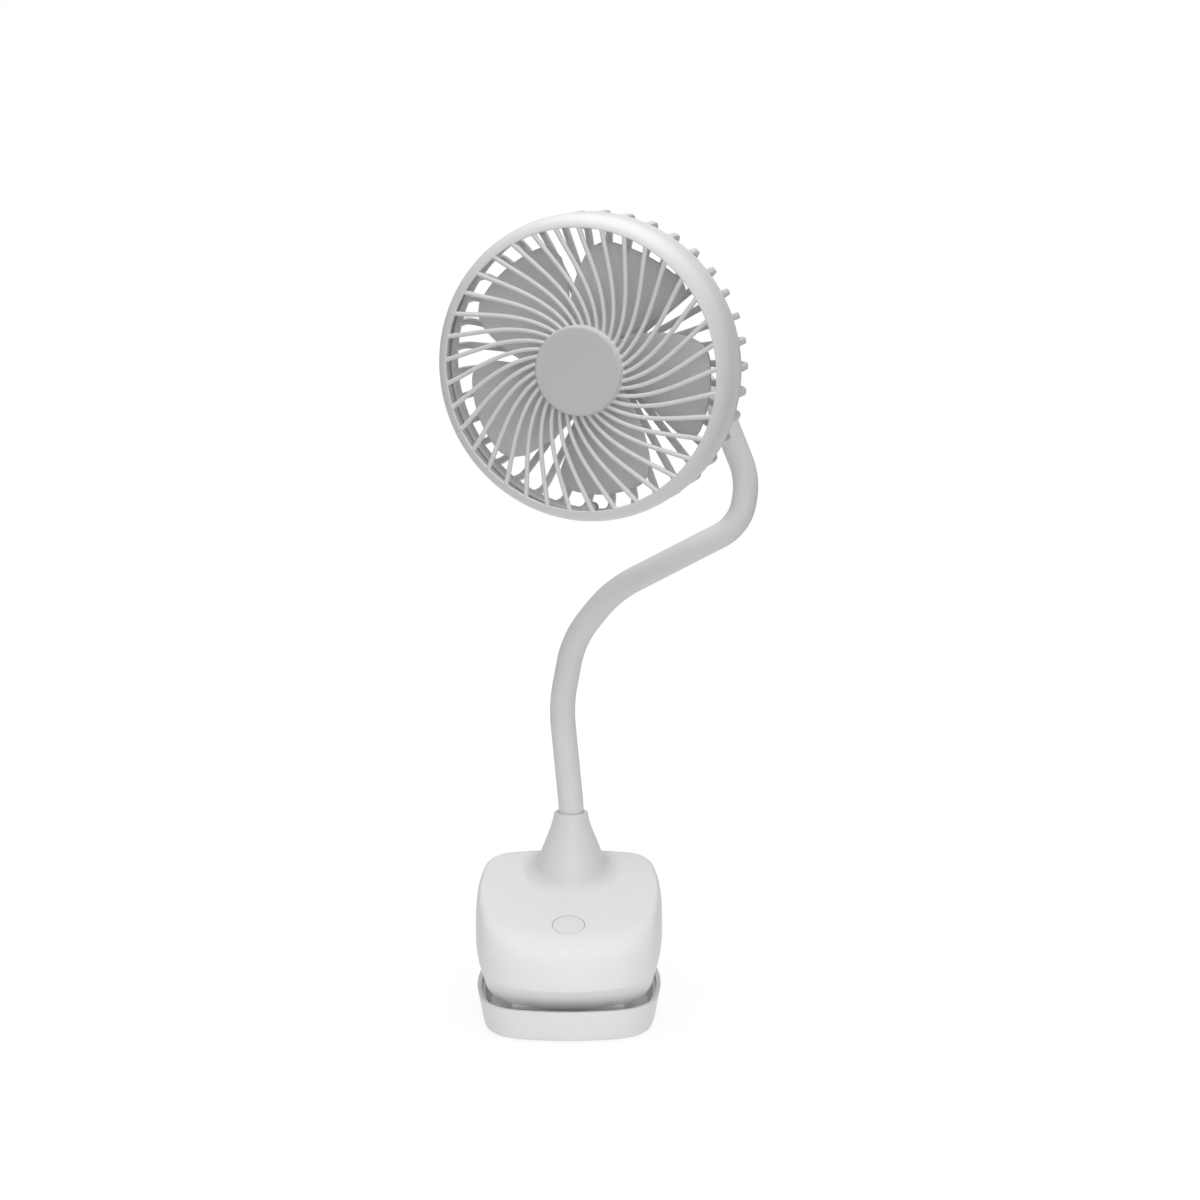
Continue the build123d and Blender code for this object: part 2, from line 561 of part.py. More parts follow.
def socket_block(grow, beyond):
    """The charging socket's outer form, grown all round and run past the rear wall."""
    half = SOCKET_WIDTH / 2 + grow
    rear = rear_wall_y()
    return block(-half, half, rear - SOCKET_DEPTH - grow, rear - 0.8 + beyond,
                 SOCKET_Z - grow, SOCKET_Z + SOCKET_HEIGHT + grow)


def lamp_rod(radius, beyond):
    """The charge lamp's rod, through the rear wall."""
    rear = rear_wall_y()
    length = SOCKET_DEPTH + beyond
    middle = rear - SOCKET_DEPTH - 0.4 + length / 2
    return Pos(LAMP_X, middle, SOCKET_Z + SOCKET_HEIGHT / 2) * Rot(90, 0, 0) * Cylinder(radius, length)


def upper_ear(x):
    """Ear hanging from the bottom cover round the hinge pin."""
    pin = Pos(x, HINGE_BACK, -HINGE_DROP) * Rot(0, 90, 0)
    web = block(x - EAR_THICKNESS / 2, x + EAR_THICKNESS / 2, HINGE_BACK - EAR_RADIUS,
                HINGE_BACK + EAR_RADIUS, -HINGE_DROP, 0.5)
    return pin * Cylinder(EAR_RADIUS, EAR_THICKNESS) + web


def bottom_cover():
    cover = loft([band_plan(0), band_plan(COVER_THICKNESS)], ruled=True)
    for x in (-UPPER_EAR_X, UPPER_EAR_X):
        cover += upper_ear(x)
    cover -= (Pos(0, HINGE_BACK, -HINGE_DROP) * Rot(0, 90, 0)
              * Cylinder(PIN_RADIUS + SLIP, 4 * UPPER_EAR_X))
    for x, y in BOARD_SCREWS:
        cover += disc(BOARD_POST_RADIUS, COVER_THICKNESS - 0.5, BOARD_HEIGHT, x, y)
        cover -= disc(SMALL_SCREW_RADIUS + SLIP, BOARD_HEIGHT + BOARD_THICKNESS - BOARD_SCREW_LENGTH - 0.5,
                      BOARD_HEIGHT + 1, x, y)
    half = CRADLE_THICKNESS / 2
    for x in (-CRADLE_X, CRADLE_X):
        cover += block(x - half, x + half, CELL_BACK - CELL_RADIUS, CELL_BACK + CELL_RADIUS,
                       COVER_THICKNESS - 0.5, COVER_THICKNESS + CRADLE_HEIGHT)
    cover -= cell_rod(CELL_RADIUS + SLIP, 2 * SNAP_GAP)
    rear = rear_wall_y()
    stand = block(-SOCKET_WIDTH / 2, LAMP_X + 2 * LAMP_RADIUS, rear - SOCKET_DEPTH, rear - STAND_SETBACK,
                  COVER_THICKNESS - 0.5, SOCKET_Z + SOCKET_HEIGHT / 2)
    cover += stand - socket_block(0.0, 0) - lamp_rod(LAMP_RADIUS + SLIP, 5)
    for x in (-HOUSING_SCREW_X, HOUSING_SCREW_X):
        for y in (-HOUSING_SCREW_Y, HOUSING_SCREW_Y):
            cover -= disc(SMALL_HEAD_RADIUS + SNAP_GAP, -1, SMALL_HEAD_HEIGHT, x, y)
            cover -= disc(SMALL_SCREW_RADIUS + SNAP_GAP, -1, COVER_THICKNESS + 1, x, y)
    return on_jaw(cover)


def screw(x, y, head_low, direction, length):
    """Small screw; its head starts at head_low and its shank runs the given way."""
    if direction > 0:
        head = disc(SMALL_HEAD_RADIUS, head_low, head_low + SMALL_HEAD_HEIGHT, x, y)
        shank = disc(SMALL_SCREW_RADIUS, head_low, head_low + length, x, y)
    else:
        head = disc(SMALL_HEAD_RADIUS, head_low - SMALL_HEAD_HEIGHT, head_low, x, y)
        shank = disc(SMALL_SCREW_RADIUS, head_low - length, head_low, x, y)
    return head + shank


def housing_screws():
    length = COVER_THICKNESS + HOUSING_SCREW_LENGTH - 1
    return on_jaw(Compound(children=[screw(x, y, 0, 1, length)
                                     for x in (-HOUSING_SCREW_X, HOUSING_SCREW_X)
                                     for y in (-HOUSING_SCREW_Y, HOUSING_SCREW_Y)]))


def board_screws():
    top = BOARD_HEIGHT + BOARD_THICKNESS + SMALL_HEAD_HEIGHT
    return on_jaw(Compound(children=[screw(x, y, top, -1, BOARD_SCREW_LENGTH) for x, y in BOARD_SCREWS]))


def upper_pad():
    return pad_box(-PAD_THICKNESS, 0)


def control_board():
    middle_y = -BUTTON_FORWARD
    board = block(-BOARD_HALF_X, BOARD_HALF_X, middle_y - BOARD_HALF_Y, middle_y + BOARD_HALF_Y,
                  BOARD_HEIGHT, BOARD_HEIGHT + BOARD_THICKNESS)
    for x, y in BOARD_SCREWS:
        board -= disc(SMALL_SCREW_RADIUS + SNAP_GAP, BOARD_HEIGHT - 1, BOARD_HEIGHT + 3, x, y)
    return on_jaw(board)


def tact_switch():
    half = SWITCH_SIZE / 2
    body = block(-half, half, -BUTTON_FORWARD - half, -BUTTON_FORWARD + half, SWITCH_LOW, SWITCH_TOP)
    well = disc(PLUNGER_RADIUS + SLIP, SWITCH_LOW + 0.5, SWITCH_TOP + 1, 0, -BUTTON_FORWARD)
    return on_jaw(body - well)


def switch_plunger():
    return on_jaw(disc(PLUNGER_RADIUS, PLUNGER_TOP - PLUNGER_LENGTH, PLUNGER_TOP, 0, -BUTTON_FORWARD))


def power_button():
    flange_reach = BUTTON_RADIUS + BUTTON_FLANGE
    flange_top = JAW_TOP - HOUSING_WALL - FREE_GAP
    flange_low = flange_top - BUTTON_FLANGE_THICKNESS
    cap = disc(BUTTON_RADIUS, flange_low, JAW_TOP + BUTTON_PROUD, 0, -BUTTON_FORWARD)
    cap = chamfer(cap.faces().sort_by(Axis.Z)[-1].edges(), BUTTON_BEVEL)
    cap += disc(flange_reach, flange_low, flange_top, 0, -BUTTON_FORWARD)
    cap += disc(BUTTON_STEM_RADIUS, PLUNGER_TOP, flange_low + 0.2, 0, -BUTTON_FORWARD)
    return on_jaw(cap)


def cell_rod(radius, extra):
    """A rod on the cell's axis, resting just over the bottom cover."""
    height = COVER_THICKNESS + FREE_GAP + CELL_RADIUS
    return Pos(0, CELL_BACK, height) * Rot(0, 90, 0) * Cylinder(radius, CELL_LENGTH + extra)


def battery_cell():
    return on_jaw(cell_rod(CELL_RADIUS, 0))


def usb_socket():
    shell = socket_block(0, 0)
    half = SOCKET_WIDTH / 2 - SOCKET_SHELL
    rear = rear_wall_y()
    mouth = block(-half, half, rear - SOCKET_DEPTH + 1.2, rear + 1,
                  SOCKET_Z + SOCKET_SHELL, SOCKET_Z + SOCKET_HEIGHT - SOCKET_SHELL)
    middle = SOCKET_Z + SOCKET_HEIGHT / 2
    tongue = block(-half + 0.9, half - 0.9, rear - SOCKET_DEPTH + 1, rear - 2, middle - 0.35, middle + 0.35)
    return on_jaw(shell - mouth + tongue)


def charge_lamp():
    return on_jaw(lamp_rod(LAMP_RADIUS, 0))


# ---- Neck -------------------------------------------------------------------
def neck_points():
    """Corner points of the neck's centre line, from the collar to the head, measured
    from the middle of the collar's top."""
    corners = [Vector(right, 0, above) for (right, above), radius in NECK_CORNERS]
    start = Vector(0, 0, FERRULE_FLANGE - COLLAR_BORE_DEPTH)
    last = LIP_FROM_COLLAR + HEAD_BACK * (LIP_FROM_COLLAR.Y / HEAD_FRONT.Y)
    end = LIP_FROM_COLLAR + HEAD_BACK * -NECK_SEAT_Z
    return [start] + corners + [last, end]


def neck_joint_points():
    """Centre of each neck joint and the neck's direction there, from the base up."""
    points = neck_points()
    joints = []
    for corner, distance in zip(NECK_JOINT_INDEX, NECK_JOINT_DISTANCE):
        low, high = points[corner + 1], points[corner + 2]
        along = (high - low).normalized()
        joints.append((low + along * distance, along, corner + 1))
    centre = LIP_FROM_COLLAR + HEAD_BACK * -NECK_HEAD_JOINT_Z
    joints.append((centre, HEAD_FRONT, len(points) - 2))
    return joints


def span_paths():
    """For each stretch between joints: its points, corner radii and end joints."""
    points = neck_points()
    radii = [radius for point, radius in NECK_CORNERS] + [NECK_LAST_RADIUS]
    joints = neck_joint_points()
    stretches = []
    low, low_corner = points[0], 0
    for centre, along, corner in joints + [(points[-1], None, len(points) - 2)]:
        between = list(range(low_corner + 1, corner + 1))
        stretches.append(([low] + [points[i] for i in between] + [centre],
                          [radii[i - 1] for i in between]))
        low, low_corner = centre, corner
    return stretches, joints


def tube(points, radii, outer, inner):
    """Round bar or tube along straight runs joined by arcs."""
    path = FilletPolyline(*points, radius=radii) if radii else Line(*points)
    start = Plane(origin=points[0], z_dir=points[1] - points[0])
    section = start * Circle(outer)
    bar = sweep(section, path=path)
    if inner:
        bar -= sweep(start * Circle(inner), path=path)
    return bar


def neck_span(index, outer, inner, below=0.0, above=0.0):
    """One stretch of a neck layer, with a cup at its lower joint and a ball at its upper."""
    stretches, joints = span_paths()
    points, radii = stretches[index]
    points = list(points)
    if index < len(joints):
        centre, along, _ = joints[index]
        points[-1] = centre + along * (SLEEVE_RADIUS + 1)
    if below:
        points[0] = points[0] - (points[1] - points[0]).normalized() * below
    if above:
        points[-1] = points[-1] + (points[-1] - points[-2]).normalized() * above
    span = tube(points, radii, outer, inner)
    if index < len(joints):
        beyond = disc(3 * SLEEVE_RADIUS, 0, 3 * SLEEVE_RADIUS) - Sphere(SLEEVE_RADIUS)
        span -= Plane(origin=centre, z_dir=along).location * beyond
    if index > 0:
        centre, along, _ = joints[index - 1]
        span -= Plane(origin=centre, z_dir=along).location * Sphere(SLEEVE_RADIUS + BALL_GAP)
    return Pos(COLLAR_TOP) * span


def ferrule(seat, thread_end, sign):
    """Flanged threaded tube that ends the neck; sign is the way its thread points."""
    flange = sorted((seat, seat - sign * FERRULE_FLANGE))
    thread = sorted((seat - sign * FERRULE_FLANGE / 2, thread_end))
    tube_part = disc(FERRULE_FLANGE_RADIUS, *flange) + disc(FERRULE_THREAD_RADIUS, *thread)
    return tube_part - disc(LEAD_RADIUS + 3 * SLIP, flange[0] - 20, flange[1] + 20)


def hex_nut(low):
    """Thin hexagon nut on the ferrule's thread."""
    across_corners = NUT_ACROSS_FLATS / 2 / cos(radians(30))
    prism = extrude(Pos(0, 0, low) * RegularPolygon(across_corners, 6), amount=NUT_THICKNESS)
    return prism - disc(FERRULE_THREAD_RADIUS + SLIP, low - 1, low + NUT_THICKNESS + 1)


def base_ferrule():
    thread_end = COLLAR_SEAT_Z - FERRULE_THREAD_LENGTH
    return Pos(COLLAR_X, COLLAR_Y, 0) * ferrule(COLLAR_SEAT_Z, thread_end, -1)


def base_nut():
    return Pos(COLLAR_X, COLLAR_Y, 0) * hex_nut(COLLAR_SEAT_Z - COLLAR_WEB - NUT_THICKNESS)


def head_ferrule():
    seat = BOSS_WEB_Z - NECK_BOSS_WEB
    return on_head(ferrule(seat, seat + FERRULE_THREAD_LENGTH - 2, 1))


def head_nut():
    return on_head(hex_nut(BOSS_WEB_Z))


# ---- Fan head: front grille -------------------------------------------------
def ring_outline(outer, lip, wall_in):
    """Closed outline of the front ring's wall."""
    shoulder = -RING_SHOULDER
    inner = outer - RING_WALL
    bend = (lip + (outer - lip) * 0.72, shoulder * 0.34)
    low = -RING_WALL
    return [ThreePointArc((lip, 0), bend, (outer, shoulder)),
            Line((outer, shoulder), (outer - wall_in, -RING_DEPTH)),
            Line((outer - wall_in, -RING_DEPTH), (inner - wall_in, -RING_DEPTH)),
            Line((inner - wall_in, -RING_DEPTH), (inner, shoulder)),
            ThreePointArc((inner, shoulder), (bend[0] - RING_WALL * 0.75, bend[1] + low * 0.75),
                          (lip, low)),
            Line((lip, low), (lip, 0))]


def front_rib():
    """One round rib, an arc from the hub to the lip that swirls and crowns a little."""
    def at(radius, angle, z):
        return (radius * cos(radians(angle)), radius * sin(radians(angle)), z)

    hub_end = at(HUB_RADIUS - 1.2, RIB_PHASE - RIB_SWEEP, HUB_RISE - RIB_RADIUS - 0.4)
    middle = at((HUB_RADIUS + LIP_RADIUS) / 2, RIB_PHASE - RIB_SWEEP / 3, RIB_RADIUS * 0.2)
    lip_end = at(LIP_RADIUS + 0.8, RIB_PHASE, -RIB_RADIUS)
    path = ThreePointArc(hub_end, middle, lip_end)
    section = Plane(origin=path @ 0, z_dir=path % 0) * Circle(RIB_RADIUS)
    return sweep(section, path=path)


def grille_boss(low, high, reach):
    """Round boss inside the ring with a web that runs out to the given radius."""
    web = block(GRILLE_BOSS_AT, reach, -GRILLE_BOSS_RADIUS, GRILLE_BOSS_RADIUS, low, high)
    return disc(GRILLE_BOSS_RADIUS, low, high, GRILLE_BOSS_AT) + web


def front_grille():
    wall_in = RING_TAPER
    shell = revolved(ring_outline(RING_RADIUS, LIP_RADIUS, wall_in))
    hub = disc(HUB_RADIUS, HUB_RISE - HUB_THICKNESS, HUB_RISE)
    hub -= disc(CAP_SPIGOT_RADIUS + SNAP_GAP, HUB_RISE - CAP_SPIGOT, HUB_RISE + 1)
    rib = front_rib()
    ribs = [Rot(0, 0, i * 360 / RIB_COUNT) * rib for i in range(RIB_COUNT)]
    grille = shell.fuse(hub, *ribs)
    low = -RING_DEPTH + CAGE_SPIGOT + SNAP_GAP
    for angle in GRILLE_SCREW_ANGLES:
        boss = grille_boss(low, -RING_SHOULDER, RING_RADIUS - RING_WALL)
        boss -= disc(SMALL_SCREW_RADIUS + SLIP, -RING_DEPTH, -RING_SHOULDER - 1, GRILLE_BOSS_AT)
        grille += Rot(0, 0, angle) * boss
    return on_head(grille)


def hub_cap():
    top = HUB_RISE + CAP_THICKNESS
    cap = disc(HUB_RADIUS - SNAP_GAP, HUB_RISE, top)
    cap = chamfer(cap.edges().sort_by(Axis.Z)[-1], CAP_BEVEL)
    return on_head(cap + disc(CAP_SPIGOT_RADIUS, HUB_RISE - CAP_SPIGOT + 0.1, HUB_RISE + 0.5))


# ---- Fan head: rear cage ----------------------------------------------------
def fin():
    """One fin of the cage: along the side, round the shoulder and in to the disc."""
    r_out, r_turn = CAGE_RADIUS, CAGE_SHOULDER_RADIUS
    rim_z = -RING_DEPTH - CAGE_RIM + 0.5
    back_z = -CAGE_DEPTH
    knee_z = -CAGE_SHOULDER_Z
    flat_z = knee_z - r_turn
    turn = sin(radians(45)) * r_turn
    in_out = r_out - FIN_THICKNESS
    r_in = r_turn - FIN_THICKNESS
    turn_in = sin(radians(45)) * r_in
    outline = [
        Line((r_out, rim_z), (r_out, knee_z)),
        ThreePointArc((r_out, knee_z), (r_out - r_turn + turn, knee_z - turn), (r_out - r_turn, flat_z)),
        Line((r_out - r_turn, flat_z), (DISC_RADIUS - 2, back_z)),
        Line((DISC_RADIUS - 2, back_z), (DISC_RADIUS - 2, back_z + FIN_THICKNESS * 0.8)),
        Line((DISC_RADIUS - 2, back_z + FIN_THICKNESS * 0.8), (r_out - r_turn, flat_z + FIN_THICKNESS)),
        ThreePointArc((r_out - r_turn, flat_z + FIN_THICKNESS),
                      (r_out - r_turn + turn_in, knee_z - turn_in), (in_out, knee_z)),
        Line((in_out, knee_z), (in_out, rim_z)),
        Line((in_out, rim_z), (r_out, rim_z)),
    ]
    face = Plane.XZ * make_face(outline)
    return extrude(face, amount=FIN_WIDTH / 2, both=True)


def rear_grille():
    rim = ring(CAGE_RADIUS, SPIGOT_RADIUS - SPIGOT_WALL, -RING_DEPTH - CAGE_RIM, -RING_DEPTH)
    rim += ring(SPIGOT_RADIUS, SPIGOT_RADIUS - SPIGOT_WALL, -RING_DEPTH - 1, -RING_DEPTH + CAGE_SPIGOT)
    plate = disc(DISC_RADIUS, -CAGE_DEPTH, DISC_FRONT_Z)
    plate += ring(MOTOR_RADIUS + MOTOR_COLLAR_WALL, MOTOR_RADIUS + SNAP_GAP, DISC_FRONT_Z - 0.5,
                  DISC_FRONT_Z + MOTOR_COLLAR_HEIGHT)
    one = fin()
    fins = [Rot(0, 0, FIN_PHASE + i * 360 / FIN_COUNT) * one for i in range(FIN_COUNT)]
    cage = rim.fuse(plate, *fins)
    tab_low, tab_high = -RING_DEPTH, -RING_DEPTH + CAGE_SPIGOT
    for angle in GRILLE_SCREW_ANGLES:
        cage += Rot(0, 0, angle) * grille_boss(tab_low, tab_high, SPIGOT_RADIUS - SPIGOT_WALL / 2)
        hole = disc(SMALL_SCREW_RADIUS + SNAP_GAP, tab_low - 1, tab_high + 1, GRILLE_BOSS_AT)
        hole += disc(SMALL_HEAD_RADIUS + SNAP_GAP, tab_low - CAGE_RIM - 1, tab_low, GRILLE_BOSS_AT)
        cage -= Rot(0, 0, angle) * hole
    for x in (-MOTOR_SCREW_X, MOTOR_SCREW_X):
        cage -= disc(SMALL_SCREW_RADIUS + SNAP_GAP, -CAGE_DEPTH - 1, DISC_FRONT_Z + 1, x)
    cage -= disc(BUSH_RADIUS + 0.5, -CAGE_DEPTH - 1, DISC_FRONT_Z + 1)
    for angle in COVER_SCREW_ANGLES:
        hole = disc(SMALL_SCREW_RADIUS + SNAP_GAP, -CAGE_DEPTH - 1, DISC_FRONT_Z + 1, COVER_SCREW_AT)
        cage -= Rot(0, 0, angle) * hole
    return on_head(cage)


def grille_screws():
    one = screw(GRILLE_BOSS_AT, 0, -RING_DEPTH - SMALL_HEAD_HEIGHT, 1, GRILLE_SCREW_LENGTH)
    return on_head(Compound(children=[Rot(0, 0, a) * one for a in GRILLE_SCREW_ANGLES]))


# ---- Motor ------------------------------------------------------------------
def motor_can():
    can = disc(MOTOR_RADIUS, MOTOR_REAR_Z, MOTOR_FRONT_Z)
    can -= disc(MOTOR_RADIUS - MOTOR_WALL, MOTOR_REAR_Z - 1, MOTOR_FRONT_Z - MOTOR_WALL)
    can += disc(BUSH_RADIUS + 1.2, MOTOR_FRONT_Z - BUSH_LENGTH, MOTOR_FRONT_Z)
    can -= disc(BUSH_RADIUS + SLIP, MOTOR_FRONT_Z - BUSH_LENGTH - 1, MOTOR_FRONT_Z + 1)
    return on_head(can)


def motor_end_plate():
    plate = disc(MOTOR_RADIUS - MOTOR_WALL - SLIP, MOTOR_REAR_Z, MOTOR_REAR_Z + END_PLATE_THICKNESS)
    plate += disc(BUSH_RADIUS + 1.2, MOTOR_REAR_Z, MOTOR_REAR_Z + BUSH_LENGTH)
    plate -= disc(BUSH_RADIUS + SLIP, MOTOR_REAR_Z - 1, MOTOR_REAR_Z + BUSH_LENGTH + 1)
    for x in (-MOTOR_SCREW_X, MOTOR_SCREW_X):
        plate -= disc(SMALL_SCREW_RADIUS + SLIP, MOTOR_REAR_Z - 1, MOTOR_REAR_Z + 5, x)
    return on_head(plate)


def motor_magnets():
    outer = MOTOR_RADIUS - MOTOR_WALL - SLIP
    middle = (MOTOR_REAR_Z + MOTOR_FRONT_Z) / 2
    half = ROTOR_LENGTH / 2 + 1
    whole = ring(outer, outer - MAGNET_THICKNESS, middle - half, middle + half)
    split = block(-MOTOR_RADIUS, MOTOR_RADIUS, -MAGNET_SPLIT / 2, MAGNET_SPLIT / 2,
                  middle - half - 1, middle + half + 1)
    return on_head(whole - split)


def front_bush():
    return on_head(ring(BUSH_RADIUS, SHAFT_RADIUS + SLIP, MOTOR_FRONT_Z - BUSH_LENGTH, MOTOR_FRONT_Z))


def rear_bush():
    return on_head(ring(BUSH_RADIUS, SHAFT_RADIUS + SLIP, MOTOR_REAR_Z, MOTOR_REAR_Z + BUSH_LENGTH))


def motor_screws():
    head_low = -CAGE_DEPTH - SMALL_HEAD_HEIGHT
    screws = [screw(x, 0, head_low, 1, MOTOR_SCREW_LENGTH) for x in (-MOTOR_SCREW_X, MOTOR_SCREW_X)]
    return on_head(Compound(children=screws))


def motor_shaft():
    front = -IMPELLER_HUB_FRONT + SHAFT_PROUD
    return on_head(disc(SHAFT_RADIUS, MOTOR_REAR_Z + 0.5, front))


def motor_rotor():
    """Laminated rotor with winding slots, and the commutator behind it."""
    middle = (MOTOR_REAR_Z + MOTOR_FRONT_Z) / 2
    half = ROTOR_LENGTH / 2
    rotor = disc(ROTOR_RADIUS, middle - half, middle + half)
    slot = block(ROTOR_RADIUS - 4, ROTOR_RADIUS + 1, -1, 1, middle - half - 1, middle + half + 1)
    for i in range(5):
        rotor -= Rot(0, 0, i * 72) * slot
    rotor -= disc(SHAFT_RADIUS + SLIP, MOTOR_REAR_Z, MOTOR_FRONT_Z)
    return on_head(rotor)


# ---- Impeller ---------------------------------------------------------------
def blade_plan():
    """Outline of one blade seen from the front, trailing tip corner at angle zero."""
    def at(radius, angle):
        return (radius * cos(radians(angle)), radius * sin(radians(angle)))

    tip, root = BLADE_TIP_RADIUS, IMPELLER_HUB_RADIUS - 1
    wide = (tip + root) / 2
    outline = [
        ThreePointArc(at(root, -38), at(root, -3), at(root, 32)),
        ThreePointArc(at(root, 32), at(wide, 15), at(tip, 2)),
        ThreePointArc(at(tip, 2), at(tip, -24), at(tip, -48)),
        ThreePointArc(at(tip, -48), at(wide, -50), at(root, -38)),
    ]
    face = make_face(outline)
    corners = face.vertices().sort_by_distance((0, 0))[-2:]
    return fillet(corners, BLADE_ROUND)


def blade():
    """A twisted sheet cut to the blade's outline; its trailing edge is to the front."""
    middle_angle = -12.0
    sections = []
    for share, half_chord in BLADE_CHORDS:
        distance = share * BLADE_TIP_RADIUS
        rise = half_chord * sin(radians(BLADE_PITCH))
        sag = half_chord * BLADE_CAMBER
        low, high = (-half_chord, -rise), (half_chord, rise)
        t = BLADE_THICKNESS
        strip = make_face([
            ThreePointArc(low, (0, sag), high),
            Line(high, (high[0], high[1] - t)),
            ThreePointArc((high[0], high[1] - t), (0, sag - t), (low[0], low[1] - t)),
            Line((low[0], low[1] - t), low)])
        station = Plane(origin=(distance, 0, -BLADE_MIDDLE_Z), x_dir=(0, 1, 0), z_dir=(1, 0, 0))
        sections.append(station * strip)
    sheet = Rot(0, 0, middle_angle) * loft(sections, ruled=True)
    prism = extrude(Pos(0, 0, -3 * BLADE_MIDDLE_Z) * blade_plan(), amount=4 * BLADE_MIDDLE_Z)
    return sheet & prism


def impeller():
    front = -IMPELLER_HUB_FRONT
    hub = disc(IMPELLER_HUB_RADIUS, front - IMPELLER_HUB_DEPTH, front)
    hub = fillet(hub.edges().sort_by(Axis.Z)[-1], IMPELLER_HUB_ROUND)
    hub -= disc(IMPELLER_HUB_RADIUS - IMPELLER_WALL, front - IMPELLER_HUB_DEPTH - 1, front - IMPELLER_WALL)
    hub += disc(IMPELLER_BOSS_RADIUS, MOTOR_FRONT_Z + IMPELLER_BOSS_GAP, front - 0.5)
    one = blade() - disc(IMPELLER_HUB_RADIUS - IMPELLER_WALL / 2, -CAGE_DEPTH, 0)
    blades = [Rot(0, 0, BLADE_PHASE + i * 360 / BLADE_COUNT) * one for i in range(BLADE_COUNT)]
    wheel = hub.fuse(*blades)
    return on_head(wheel - disc(SHAFT_RADIUS + SLIP, -CAGE_DEPTH, 0))


def impeller_clip():
    """Push-on washer that holds the impeller on the shaft's front end."""
    return on_head(ring(BUSH_RADIUS, SHAFT_RADIUS + SLIP, -IMPELLER_HUB_FRONT, -IMPELLER_HUB_FRONT + 0.9))


# ---- Motor cover ------------------------------------------------------------
def cover_outline(wall, mouth):
    """Outline of the cover's bowl, drawn in by wall; mouth is its open front."""
    r0, r1 = COVER_RADIUS - wall, NECK_BOSS_RADIUS + COVER_FLAT - wall
    skirt = -CAGE_DEPTH - COVER_SKIRT
    low = BOSS_WEB_Z if wall else BOSS_WEB_Z - NECK_BOSS_WEB
    bend = (r1 + (r0 - r1) * COVER_BULGE, skirt + (low - skirt) * COVER_BULGE)
    return [Line((0, mouth), (r0, mouth)), Line((r0, mouth), (r0, skirt)),
            ThreePointArc((r0, skirt), bend, (r1, low)), Line((r1, low), (0, low)),
            Line((0, low), (0, mouth))]


def motor_cover():
    shell = revolved(cover_outline(0, -CAGE_DEPTH))
    shell += disc(NECK_BOSS_RADIUS, NECK_BOSS_END_Z, BOSS_WEB_Z)
    inside = revolved(cover_outline(COVER_WALL, -CAGE_DEPTH + 1))
    post = disc(COVER_POST_RADIUS, -CAGE_DEPTH - COVER_POST_DEPTH, -CAGE_DEPTH, COVER_SCREW_AT)
    for angle in COVER_SCREW_ANGLES:
        inside -= Rot(0, 0, angle) * post
    cover = shell - inside
    hole_end = DISC_FRONT_Z + SMALL_HEAD_HEIGHT - COVER_SCREW_LENGTH - 0.5
    for angle in COVER_SCREW_ANGLES:
        cover -= Rot(0, 0, angle) * disc(SMALL_SCREW_RADIUS + SLIP, hole_end, 0, COVER_SCREW_AT)
    cover -= disc(FERRULE_THREAD_RADIUS + 3 * SLIP, NECK_BOSS_END_Z - 1, 0)
    cover -= disc(SLEEVE_RADIUS + FREE_GAP, NECK_BOSS_END_Z - 1, BOSS_WEB_Z - NECK_BOSS_WEB)
    return on_head(cover)


def cover_screws():
    one = screw(COVER_SCREW_AT, 0, DISC_FRONT_Z + SMALL_HEAD_HEIGHT, -1, COVER_SCREW_LENGTH)
    return on_head(Compound(children=[Rot(0, 0, angle) * one for angle in COVER_SCREW_ANGLES]))


# ---- Everything -------------------------------------------------------------
PIECES = [
    lower_tray, base_strips, lower_pad, hinge_pin, pin_clips, torsion_spring,
    upper_housing, bottom_cover, housing_screws, board_screws, upper_pad, control_board,
    tact_switch, switch_plunger, power_button, battery_cell, usb_socket, charge_lamp,
    base_ferrule, base_nut, head_ferrule, head_nut,
    front_grille, hub_cap, rear_grille, grille_screws,
    motor_can, motor_end_plate, motor_magnets, front_bush, rear_bush, motor_screws,
    motor_shaft, motor_rotor, impeller, impeller_clip, motor_cover, cover_screws,
]


def main():
    os.makedirs("parts", exist_ok=True)
    for piece in PIECES:
        export(piece.__name__, piece())
    spans = len(NECK_JOINT_INDEX) + 2
    for index in range(spans):
        first, last = index == 0, index == spans - 1
        export(f"neck_sleeve_{index + 1}", neck_span(index, SLEEVE_RADIUS, CORE_RADIUS + LAYER_GAP))
        export(f"neck_core_{index + 1}", neck_span(index, CORE_RADIUS, LEAD_RADIUS + 2 * LAYER_GAP))
        below = FERRULE_THREAD_LENGTH + FERRULE_FLANGE + 5 if first else 0
        above = FERRULE_THREAD_LENGTH + FERRULE_FLANGE + 2 if last else 0
        export(f"neck_lead_{index + 1}", neck_span(index, LEAD_RADIUS, 0, below, above))
    for centre, along, _ in neck_joint_points():
        print("neck joint", [round(v, 2) for v in COLLAR_TOP + centre], [round(v, 4) for v in along])
    print("hinge", HINGE, "jaw", JAW_ORIGIN, JAW_ALONG, JAW_UP)


if __name__ == "__main__":
    main()
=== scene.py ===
import json
from math import acos, copysign, cos, pi, radians, sin, sqrt, tan

import bmesh
import bpy
from mathutils import Matrix, Vector

